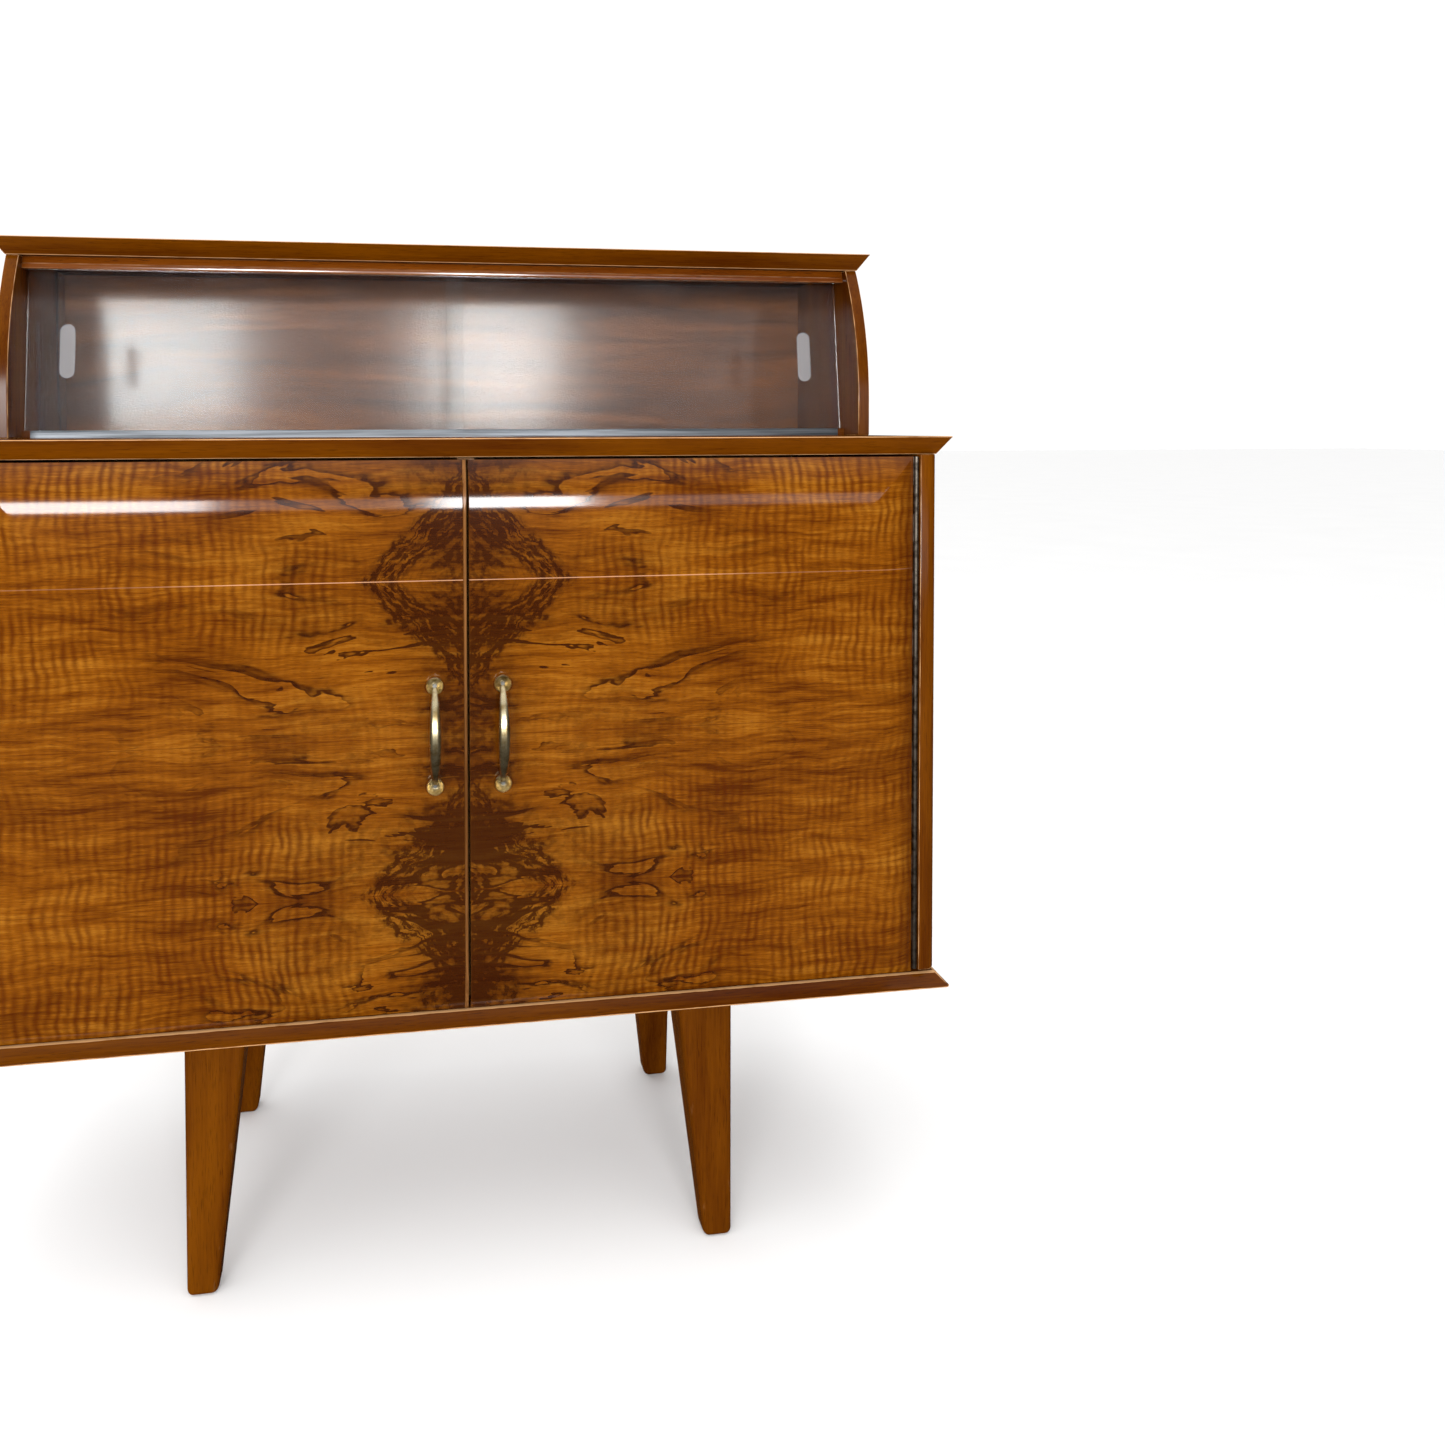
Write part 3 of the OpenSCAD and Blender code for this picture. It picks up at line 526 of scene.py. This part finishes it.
def smoky_veins(leaf):
    tooth = (leaf.pattern(6, 17, 4, 0.55, 0.9, change=2, seed=80) * 5).op("FRACT")
    line = tooth.step(0.70, 0.95) * (1 - tooth.step(0.965, 0.998))
    patch = leaf.pattern(5, 8, 2, change=3, seed=100).step(0.36, 0.52)
    near = 1 - leaf.across.step(0.18, 0.40) * 0.85
    veins = (line * (leaf.blots * 0.4 + 0.4) + tooth.op("POWER", 3) * 0.45) * patch * near
    low_down = 1 - (leaf.z - BURL_LEVEL).step(0.02, 0.13)
    burl = (1 - leaf.across.step(0.05, 0.17)) * low_down
    return veins + (line * 0.8 + leaf.blots * 0.2) * burl


def dark_heart(leaf):
    smoke = leaf.pattern(9, 15, 3, 0.6, change=3, seed=140).step(0.40, 0.66)
    smoke = smoke * (leaf.knots * 0.25 + 0.25)
    heart = (1 - leaf.across.step(0.0, 0.10)) * (leaf.knots * 0.20 + leaf.blots * 0.20 + 0.36)
    return heart + smoke * (1 - leaf.across.step(0.06, 0.32))


print("burl below", round(BURL_LEVEL + 130 * MM, 3))

# %% [markdown]
# ## Figured walnut: joints and edges
# The level joints show as hairlines, the top one pale where its glue has dried out. Painted shade
# darkens the door where it rolls away at its hinge edge, since that roll turns from the light. The
# inner face carries a plain straight veneer, as the inside of a cabinet door does. Being a flat
# face, it is told by its depth alone.

# %% Joints and edges
PALE_LEVEL = 720 * MM
SHADE_WIDE = 26 * MM


def leaf_joints(leaf, wood):
    from_joint = leaf.up.op("MINIMUM", LEAF - leaf.up)
    seam = 1 - from_joint.step(0.2 * MM, 0.7 * MM)
    pale = (leaf.z - PALE_LEVEL).step(0.0, 10 * MM) * (1 - leaf.across.step(0.22, 0.34) * 0.7)
    hairline = leaf.paint.mix(pale, tint(70, 32, 8), tint(214, 160, 122))
    return leaf.paint.mix(seam * 0.55, wood, hairline)


def door_edges(leaf, wood):
    # Painted shade: the hinge-edge roll is mixed halfway to a dark brown, standing in for the shade
    # of a face turned away from the light.
    painted_roll_shade = leaf.across.step(door_high.x - SHADE_WIDE, door_high.x) * 0.5
    wood = leaf.paint.mix(painted_roll_shade, wood, tint(58, 25, 4))
    plain = leaf.paint.ramp(leaf.long_grain * 0.6 + leaf.fibre * 0.4, [(0.38, GROUND_DARK),
        (0.62, tint(120, 70, 18))])
    inner_face = (leaf.y - (door_high.y - 2 * MM)).step(0.0, 0.5 * MM)
    wood = leaf.paint.mix(inner_face, wood, plain)
    return leaf.paint.mix(leaf.paint.wear() * 0.5, wood, tint(110, 60, 20))


print("pale joint above", PALE_LEVEL)

# %% [markdown]
# ## Figured walnut: all of it
# The parts now go on in the order in which they lie: ground, curl, dark figure, pores, joints and
# edges. The varnish closes over them as a strong coat with a hint of ripple.

# %% Figured walnut finish
def figured_walnut():
    paint = Paint("figured_walnut", Coat_Weight=0.9, Coat_Roughness=0.1, Specular_IOR_Level=0.0)
    leaf = Leaf(paint)
    wood = paint.mix(curl_ripples(leaf) * 0.72, amber_ground(leaf), tint(70, 30, 2))
    figure = crotch_feathers(leaf).op("MAXIMUM", smoky_veins(leaf))
    dark = (figure + dark_heart(leaf)).op("MINIMUM", 0.9)
    wood = paint.mix(dark, wood, tint(42, 17, 4))
    pores = paint.noise(leaf.x * 150, 8, leaf.z * 1600, 1).step(0.58, 0.70)
    wood = paint.mix(pores * 0.4, wood, tint(48, 20, 4))
    wood = door_edges(leaf, leaf_joints(leaf, wood))
    paint.feed(Base_Color=wood, Roughness=leaf.fibre * 0.1 + 0.32)
    peel = paint.noise(leaf.x * 260, leaf.y * 260, leaf.z * 260, 2)
    paint.bump(leaf.fibre * 0.35 + peel * 0.5, 0.07, 0.0006)
    return paint.material


walnut = figured_walnut()
print("figured walnut made of", len(walnut.node_tree.nodes), "nodes")

# %% [markdown]
# ## Metals
# Brass goes brown where hands and air reach it, so its colour and its roughness share one cloudy
# pattern. The hinges and fixings are steel, the glass track is drawn aluminium with lines that run
# along it, and the leg plates are lacquered.

# %% Metal finishes
EVEN_CLOUDS = (90, 90, 90)
DRAWN_ALONG_X = (6, 400, 400)


def metal(name, bright, dull, rough, cells=EVEN_CLOUDS, metallic=1.0):
    paint = Paint(name, Metallic=metallic)
    x, y, z = paint.axes()
    cloud = paint.noise(x * cells[0], y * cells[1], z * cells[2], 4, 0.6)
    scratches = paint.noise(x * 2500, y * 900, z * 400, 2)
    paint.feed(Base_Color=paint.mix(cloud.step(0.35, 0.7), bright, dull),
        Roughness=cloud * (rough[1] - rough[0]) + rough[0] + (scratches - 0.5) * 0.08)
    paint.bump(scratches, 0.05, 0.0002)
    return paint.material


brass = metal("aged_brass", tint(236, 222, 184), tint(168, 144, 98), (0.2, 0.4))
screw_brass = metal("screw_brass", tint(190, 160, 96), tint(120, 92, 50), (0.3, 0.55))
hinge_steel = metal("hinge_steel", tint(120, 112, 102), tint(58, 50, 44), (0.3, 0.6))
zinc = metal("zinc_steel", tint(190, 190, 188), tint(130, 128, 122), (0.25, 0.5))
plate_steel = metal("plate_steel", tint(40, 38, 36), tint(22, 20, 19), (0.4, 0.6), metallic=0.2)
catch_case = metal("catch_case", tint(92, 74, 54), tint(62, 48, 34), (0.45, 0.65), metallic=0.0)
aluminium = metal("track_aluminium", tint(100, 103, 107), tint(62, 65, 68), (0.3, 0.5),
    DRAWN_ALONG_X)
print("metals made")

# %% [markdown]
# ## Glass
# A pane lets lamps through, which plain refraction in a path tracer hardly does. So rays towards
# lamps meet a clear stand-in, and every other ray meets the real glass. The finger pulls are
# ground into the face: the same pane, scattered and white. Each is every point within one radius
# of a short upright line, which is a rounded slot.

# %% Pane finish
PULL_IN = 46 * MM
PULL_DROP = 2 * MM
PULL_REACH = 24 * MM
PULL_RADIUS = 9 * MM
pull_x = -pane_low.x - PULL_IN
pull_z = (pane_low.z + pane_high.z) / 2 - PULL_DROP


def pane_glass():
    paint = Paint("pane_glass", Transmission_Weight=1.0, IOR=1.5, Base_Color=tint(250, 252, 252))
    x, y, z = paint.axes()
    smear = paint.noise(x * 9, y * 9, z * 14, 4, 0.6)
    paint.feed(Roughness=smear.step(0.5, 0.9) * 0.03 + 0.01)
    ground = paint.node("BsdfPrincipled", None, {"Base Color": tint(150, 148, 150),
        "Roughness": paint.noise(x * 900, y * 900, z * 900, 2) * 0.2 + 0.5})
    beside = abs(abs(x) - pull_x)
    above = (abs(z - pull_z) - PULL_REACH).op("MAXIMUM", 0.0)
    reach = (beside * beside + above * above).op("SQRT")
    pull = (1 - reach.step(PULL_RADIUS - 0.6 * MM, PULL_RADIUS + 0.2 * MM)) * 0.5
    scattered = pull.op("MAXIMUM", smear.step(0.4, 0.8) * 0.03 + 0.02)
    pane = paint.node("MixShader", None, {0: scattered, 1: paint.main_shader(), 2: ground})
    clear = paint.node("BsdfTransparent", None, {"Color": tint(248, 250, 250)})
    towards_lamp = paint.node("LightPath", out=1)
    paint.show(paint.node("MixShader", None, {0: towards_lamp, 1: pane, 2: clear}))
    return paint.material


glass = pane_glass()
print("glass made, pulls", round(pull_x, 3), "from the middle")

# %% [markdown]
# ## Floor finish
# The sheet is almost pure white, with the faintest cloud. Seen in the cabinet's lacquer it would
# wash out the colour of the wood, so mirror-like rays meet a dark floor in its place.

# %% Floor finish
def pale_sheet():
    paint = Paint("pale_sheet", Roughness=0.8)
    x, y, z = paint.axes()
    paint.feed(Base_Color=paint.ramp(paint.noise(x * 2, y * 2, z, 3),
        [(0.3, (0.94, 0.94, 0.94, 1)), (0.7, (0.96, 0.96, 0.96, 1))]))
    dim = paint.node("BsdfDiffuse", None, {"Color": (0.04, 0.036, 0.03, 1)})
    mirrored_ray = paint.node("LightPath", out=3)
    paint.show(paint.node("MixShader", None,
        {0: mirrored_ray, 1: paint.main_shader(), 2: dim}))
    return paint.material


floor_mesh.materials.append(pale_sheet())
print("floor finished")

# %% [markdown]
# ## Finishes on the engineered pieces
# Each engineered piece names its finish in the record, so one table dresses them all. Only the
# shelves differ, since their grain runs along the cabinet. The pieces that are made again below
# replace theirs.

# %% Dress the engineered pieces
BY_SLOT = {"trim_wood": trim_x, "figured_walnut": walnut, "dark_walnut": display_wood,
    "inside_wood": lining, "dowel_beech": beech, "pale_bead": bead_wood, "aged_brass": brass,
    "screw_brass": screw_brass, "hinge_steel": hinge_steel, "fixing_steel": zinc,
    "plate_steel": plate_steel, "catch_case": catch_case, "track_aluminium": aluminium,
    "pane_glass": glass}
SHELVES = ("shelf_left", "shelf_right")

for subpart in record["subparts"]:
    mesh = frame["nodes"][subpart["node"]].data
    finish = lining_x if subpart["node"] in SHELVES else BY_SLOT[subpart["material_slot"]]
    mesh.materials.clear()
    mesh.materials.append(finish)
print("dressed", len(record["subparts"]), "pieces")

# %% [markdown]
# ## Making a piece
# Real edges are never sharp: a joiner passes a plane and sandpaper over each one. One helper eases
# every edge of a blank with a small round bevel and marks the middle of that round as worn, and
# another turns the blank into a piece that rides on its body and stands for its engineered twin.

# %% Ease and piece
def ease(blank, width, least_angle=0.3, segments=2, rub=1.0):
    """Round the edges that turn by more than least_angle, and mark their middles as wear."""
    wear = blank.verts.layers.float.new("wear")
    edges = [e for e in blank.edges if e.calc_face_angle(0) > least_angle]
    made = bmesh.ops.bevel(blank, geom=edges, offset=width, offset_type="OFFSET",
        segments=segments, profile=0.5, affect="EDGES", material=-1, clamp_overlap=True)
    fresh = set(made["faces"])
    for v in made["verts"]:
        if all(f in fresh for f in v.link_faces):
            v[wear] = rub


def piece(name, blank, finish, body, stands_for, crease=30):
    """Turn a blank into an object, smooth but for edges sharper than crease degrees."""
    bmesh.ops.recalc_face_normals(blank, faces=blank.faces)
    mesh = bpy.data.meshes.new(name)
    blank.to_mesh(mesh)
    blank.free()
    mesh.materials.append(finish)
    mesh.shade_smooth()
    mesh.set_sharp_from_angle(angle=math.radians(crease))
    made = bpy.data.objects.new(name, mesh)
    bpy.context.scene.collection.objects.link(made)
    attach(made, body)
    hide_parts(*stands_for)
    print(name, len(mesh.polygons), "faces")


print("pieces can be eased and placed")

# %% [markdown]
# ## Blanks
# Most pieces start as sawn stock. A block fills the box of its engineered twin, slices give it
# edges where it will change direction, and a left-hand piece is a right-hand one turned over.
# Turning over flips the faces inside out, so they are reversed at once.

# %% Blanks
CLOSE = 0.01 * MM


def block(low, high):
    """A blank that fills the box between two corners."""
    blank = bmesh.new()
    bmesh.ops.create_cube(blank, size=1)
    bmesh.ops.scale(blank, vec=Vector(high) - Vector(low), verts=blank.verts)
    bmesh.ops.translate(blank, vec=(Vector(high) + Vector(low)) / 2, verts=blank.verts)
    return blank


def slice_at(blank, place, normal, faces=None):
    """Cut the blank, or some of its faces, along a plane without taking anything away."""
    chosen = list(blank.faces) if faces is None else faces
    geom = set(chosen)
    for f in chosen:
        geom.update(f.edges)
        geom.update(f.verts)
    bmesh.ops.bisect_plane(blank, geom=list(geom), plane_co=place, plane_no=normal)


def mirrored(blank):
    bmesh.ops.scale(blank, vec=(-1, 1, 1), verts=blank.verts)
    bmesh.ops.reverse_faces(blank, faces=blank.faces)
    return blank


def handed(blank, hand):
    """The blank for a hand, from one made for the right."""
    return mirrored(blank) if hand == "left" else blank


print("stock sawn within", CLOSE, "m")

# %% [markdown]
# ## The three bevelled boards
# The deck, the bottom board and the upper top are flat boards whose front and ends are planed back
# at a slope, the deck and the top from below and the bottom board from above. Each is a block cut
# once at the height of its lip, with the corners of the narrow face drawn in. Moving eight corners
# keeps the mitre at the front corners exact, which a bevel modifier would round.

# %% Bevelled boards
THIN_LIP = 2 * MM
STOUT_LIP = 5 * MM
CRISP = 1.3 * MM
SOFT = 2.8 * MM


def bevelled_board(node, cut_back, wide_on_top, lip, soft):
    low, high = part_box(node)
    blank = block(low, high)
    level = high.z - lip if wide_on_top else low.z + lip
    slice_at(blank, (0, 0, level), (0, 0, 1))
    narrow = low.z if wide_on_top else high.z
    for v in blank.verts:
        if abs(v.co.z - narrow) < CLOSE:
            v.co.x -= math.copysign(cut_back, v.co.x)
            if v.co.y < (low.y + high.y) / 2:
                v.co.y += cut_back
    ease(blank, soft, segments=4)
    return blank


for node, name, cut_back, wide_on_top, lip, soft in (
        ("lower_top", "deck_board", 13 * MM, True, THIN_LIP, CRISP),
        ("upper_top", "upper_board", 13 * MM, True, THIN_LIP, CRISP),
        ("bottom_board", "base_board", 12 * MM, False, STOUT_LIP, SOFT)):
    piece(name, bevelled_board(node, cut_back, wide_on_top, lip, soft), trim_x, "carcass",
        [node])

# %% [markdown]
# ## Planks
# The sides of both sections are planks with a rabbet at the back that takes the plywood. The plan
# of such a plank has six corners, so it is drawn as one face and extruded upwards.

# %% Plank
RABBET = 8 * MM


def plank(low, high, panel_y):
    """A right-hand upright plank, with the face of its rabbet at panel_y."""
    blank = bmesh.new()
    plan = [(low.x, low.y), (high.x, low.y), (high.x, high.y), (low.x + RABBET, high.y),
        (low.x + RABBET, panel_y), (low.x, panel_y)]
    outline = blank.faces.new([blank.verts.new((px, py, low.z)) for px, py in plan])
    raised = bmesh.ops.extrude_face_region(blank, geom=[outline])["geom"]
    bmesh.ops.translate(blank, vec=(0, 0, high.z - low.z),
        verts=[g for g in raised if isinstance(g, bmesh.types.BMVert)])
    return blank


print("rabbets", RABBET, "deep")

# %% [markdown]
# ## Base sides
# A base side has a large round on its outer front edge. It is a bevel of one upright edge, wide
# enough to show as a soft turn of light at the cabinet's corner.

# %% Base sides
CORNER_RADIUS = 12 * MM
base_panel_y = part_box("lower_back_panel")[0].y


def round_upright(blank, px, py, radius):
    """Round the upright edge that stands at a place on the plan."""
    edges = [e for e in blank.edges
        if all(abs(v.co.x - px) < CLOSE and abs(v.co.y - py) < CLOSE for v in e.verts)]
    bmesh.ops.bevel(blank, geom=edges, offset=radius, offset_type="OFFSET", segments=10,
        profile=0.5, affect="EDGES", material=-1)


for hand in ("right", "left"):
    blank = plank(side_low, side_high, base_panel_y)
    round_upright(blank, side_high.x, side_low.y, CORNER_RADIUS)
    ease(blank, 1.2 * MM)
    piece("base_side_" + hand, handed(blank, hand), trim_z, "carcass", ["side_" + hand])

# %% [markdown]
# ## Front rail
# The rail that hides the upper track is a moulding: a rounded nose below and a nearly upright
# fillet above it, which catches the light along its whole length. Its section is one face of eight
# points, extruded from one end to the other.

# %% Front rail
rail_low, rail_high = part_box("front_rail")


def front_moulding():
    tall = rail_high.z - rail_low.z
    deep = rail_high.y - rail_low.y
    section = [(1.2 * MM, 0), (0.2 * MM, 1.0 * MM), (0, 2.4 * MM), (0.1 * MM, tall * 0.40),
        (1.6 * MM, tall * 0.45), (3.0 * MM, tall), (deep, tall), (deep, 0)]
    blank = bmesh.new()
    outline = blank.faces.new([blank.verts.new((rail_low.x, rail_low.y + out, rail_low.z + rise))
        for out, rise in section])
    pulled = bmesh.ops.extrude_face_region(blank, geom=[outline])["geom"]
    bmesh.ops.translate(blank, vec=(rail_high.x - rail_low.x, 0, 0),
        verts=[g for g in pulled if isinstance(g, bmesh.types.BMVert)])
    ease(blank, 0.4 * MM)
    return blank


piece("front_moulding", front_moulding(), sheen_wood, "carcass", ["front_rail"])

# %% [markdown]
# ## Curved upper sides
# The ends of the glazed section start upright and sweep back in one arc to meet the top board. The
# plank is cut into level slices, and the front of each slice moves back by the arc's own formula,
# so the curve is true and the rabbet behind stays straight.

# %% Upper sides
FOOT = 44 * MM
SWEEP = 45 * MM
SLICES = 28
upper_panel_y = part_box("upper_back_panel")[0].y
climb = upper_high.z - upper_low.z - FOOT
sweep_radius = (climb ** 2 + SWEEP ** 2) / (2 * SWEEP)


def swept_back(height):
    """How far the front edge stands back at a height above the deck."""
    over = max(0.0, height - FOOT)
    return sweep_radius - math.sqrt(sweep_radius ** 2 - over ** 2)


for hand in ("right", "left"):
    blank = plank(upper_low, upper_high, upper_panel_y)
    for i in range(SLICES):
        slice_at(blank, (0, 0, upper_low.z + FOOT + climb * i / SLICES), (0, 0, 1))
    for v in blank.verts:
        if abs(v.co.y - upper_low.y) < CLOSE:
            v.co.y += swept_back(v.co.z - upper_low.z)
    ease(blank, 1.6 * MM)
    piece("upper_end_" + hand, handed(blank, hand), trim_z, "carcass", ["upper_side_" + hand],
        crease=20)

# %% [markdown]
# ## Pillow doors
# A door is thick in the middle and rolls back along its top, its bottom and its hinge edge. Where
# two rolls meet they form a mitre that runs in from the corner. Slices laid at the steps of the
# arc, and diagonal ones through the corners, give the front just the edges that this shape needs.
# Then each point of the front falls back by the deeper of its rolls.

# %% Door blank
RISE = 14 * MM
RUN = 55 * MM
STEPS = 14
FACING_FRONT = -0.9
roll_radius = (RUN ** 2 + RISE ** 2) / (2 * RISE)


def roll_back(distance):
    """How far the face stands back at a distance in from an edge."""
    if distance >= RUN:
        return 0.0
    return roll_radius - math.sqrt(roll_radius ** 2 - (RUN - distance) ** 2)


def door_blank(low, high):
    """A right-hand door that fills the box between two corners."""
    blank = block(low, high)
    for i in range(1, STEPS + 1):
        reach = RUN * i / STEPS
        slice_at(blank, (high.x - reach, 0, 0), (1, 0, 0))
        slice_at(blank, (0, 0, low.z + reach), (0, 0, 1))
        slice_at(blank, (0, 0, high.z - reach), (0, 0, 1))
    for corner_z, slope in ((low.z, 1), (high.z, -1)):
        near = [f for f in blank.faces if f.normal.y < FACING_FRONT
            and f.calc_center_median().x > high.x - RUN
            and abs(f.calc_center_median().z - corner_z) < RUN]
        slice_at(blank, Vector((high.x, low.y, corner_z)), (1, 0, slope), near)
    for v in blank.verts:
        if abs(v.co.y - low.y) < CLOSE:
            from_edges = (high.x - v.co.x, v.co.z - low.z, high.z - v.co.z)
            v.co.y += max(roll_back(max(0.0, d)) for d in from_edges)
    ease(blank, 1.0 * MM, least_angle=0.8)
    return blank


print("door rolls on a radius of", round(roll_radius, 3))

# %% [markdown]
# ## Both doors
# The left door isn't quite the right one turned over, because it leaves room for the bead on its
# meeting edge. So its own box is turned over first, a door is made in that box, and the door is
# turned back.

# %% Doors
piece("door_right_face", door_blank(*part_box("door_right_panel")), walnut, "door_right",
    ["door_right_panel"], crease=14)
left_low, left_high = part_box("door_left_panel")
left_as_right = (Vector((-left_high.x, left_low.y, left_low.z)),
    Vector((-left_low.x, left_high.y, left_high.z)))
piece("door_left_face", mirrored(door_blank(*left_as_right)), walnut, "door_left",
    ["door_left_panel"], crease=14)

# %% [markdown]
# ## Legs
# A leg is square, upright on its two outer faces and tapered on its two inner ones, with its
# corners and its foot well rounded. The taper draws the foot's inner corners towards the outer one.

# %% Legs
LEG_FOOT = 32 * MM

for end in ("front", "rear"):
    for hand in ("left", "right"):
        node = "leg_" + end + "_" + hand
        low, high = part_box(node)
        outer_x = high.x if hand == "right" else low.x
        outer_y = low.y if end == "front" else high.y
        blank = block(low, high)
        for v in blank.verts:
            if v.co.z < (low.z + high.z) / 2:
                v.co.x = outer_x + (v.co.x - outer_x) * LEG_FOOT / (high.x - low.x)
                v.co.y = outer_y + (v.co.y - outer_y) * LEG_FOOT / (high.y - low.y)
        ease(blank, 7 * MM, segments=6, rub=0.35)
        piece("tapered_leg_" + end + "_" + hand, blank, trim_z, "carcass", [node])

# %% [markdown]
# ## Handle bows
# Each handle is a bow that swells like a leaf and is gripped by two dished cups. The bow is a ring
# of points spun about the centre of its arc, after which every ring is scaled about the arc: thin
# where it dives into the cups, full in the middle, with a shallow groove down its face.

# %% Handle bow
BOW_TURNS = 48
RING_WIDE = 6.0 * MM
RING_DEEP = 3.5 * MM
IN_THE_CUP = 3.5 * MM
BOW_BACK = 4.9 * MM
THINNEST = 0.34
GROOVE_DEPTH = 0.10
GROOVE_WIDE = 0.7 * MM
cup_low, cup_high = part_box("handle_right_cups")
bow_low, bow_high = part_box("handle_right_bow")
handle_x = (cup_low.x + cup_high.x) / 2
handle_z = (cup_low.z + cup_high.z) / 2
cup_radius = (cup_high.x - cup_low.x) / 2
foot_half = (cup_high.z - cup_low.z) / 2 - cup_radius
face_y = cup_high.y


def handle_bow():
    blank = bmesh.new()
    front_y = bow_low.y + BOW_BACK
    rise = face_y - IN_THE_CUP - front_y
    radius = (foot_half ** 2 + rise ** 2) / (2 * rise)
    centre = Vector((handle_x, front_y + radius, handle_z))
    half_turn = math.asin(foot_half / radius)
    ring = bmesh.ops.create_circle(blank, segments=28, radius=1, cap_ends=True)["verts"]
    bmesh.ops.scale(blank, vec=(RING_WIDE, RING_DEEP, 1), verts=ring)
    bmesh.ops.translate(blank, vec=centre + Vector((0, -radius, 0)), verts=ring)
    bmesh.ops.rotate(blank, cent=centre, verts=ring, matrix=Matrix.Rotation(half_turn, 3, "X"))
    bmesh.ops.spin(blank, geom=list(blank.faces), cent=centre, axis=(-1, 0, 0),
        angle=2 * half_turn, steps=BOW_TURNS, use_merge=False)
    for v in blank.verts:
        spoke = Vector((0, v.co.y - centre.y, v.co.z - centre.z))
        share = min(abs(math.atan2(-spoke.z, -spoke.y)) / half_turn, 1.0)
        size = THINNEST + (1 - THINNEST) * math.cos(share * math.pi / 2) ** 0.9
        groove = 1 - GROOVE_DEPTH * math.exp(-((v.co.x - handle_x) / GROOVE_WIDE) ** 2)
        on_arc = centre + spoke.normalized() * radius
        flat = Vector((v.co.x - handle_x, 0, 0))
        v.co = on_arc + flat * size + (v.co - on_arc - flat) * size * groove
    return blank


print("bow", round(2 * foot_half, 3), "between its feet")

# %% [markdown]
# ## Handle cups
# The cups are turned on a lathe, so each is one closed profile spun all the way round. The profile
# lists radius and height above the door, in millimetres: up the dish from its hole, over the lip,
# and down the outside. Each door then gets its bow and its cups.

# %% Handle cups
CUP_PROFILE = [(1.6, 1.2), (4.0, 1.6), (6.2, 3.2), (7.4, 5.6), (7.9, 7.8), (8.4, 8.5),
    (9.0, 7.8), (8.8, 5.4), (8.2, 2.6), (7.2, 0.6), (6.6, 0.0), (1.6, 0.0)]
CUP_TURNS = 40


def handle_cups():
    cups = bmesh.new()
    for side in (-1, 1):
        middle = Vector((handle_x, face_y, handle_z + side * foot_half))
        points = [cups.verts.new(middle + Vector((r * MM, -out * MM, 0)))
            for r, out in CUP_PROFILE]
        edges = [cups.edges.new((points[i], points[(i + 1) % len(points)]))
            for i in range(len(points))]
        bmesh.ops.spin(cups, geom=points + edges, cent=middle, axis=(0, 1, 0),
            angle=2 * math.pi, steps=CUP_TURNS, use_merge=True)
    bmesh.ops.remove_doubles(cups, verts=cups.verts, dist=0.001 * MM)
    return cups


for hand in ("right", "left"):
    piece("bow_" + hand, handed(handle_bow(), hand), brass, "door_" + hand,
        ["handle_" + hand + "_bow"], crease=50)
    piece("cups_" + hand, handed(handle_cups(), hand), brass, "door_" + hand,
        ["handle_" + hand + "_cups"], crease=60)

# %% [markdown]
# ## End
# The finish must stay inside the design.

# %% End
print("end of the finish script")
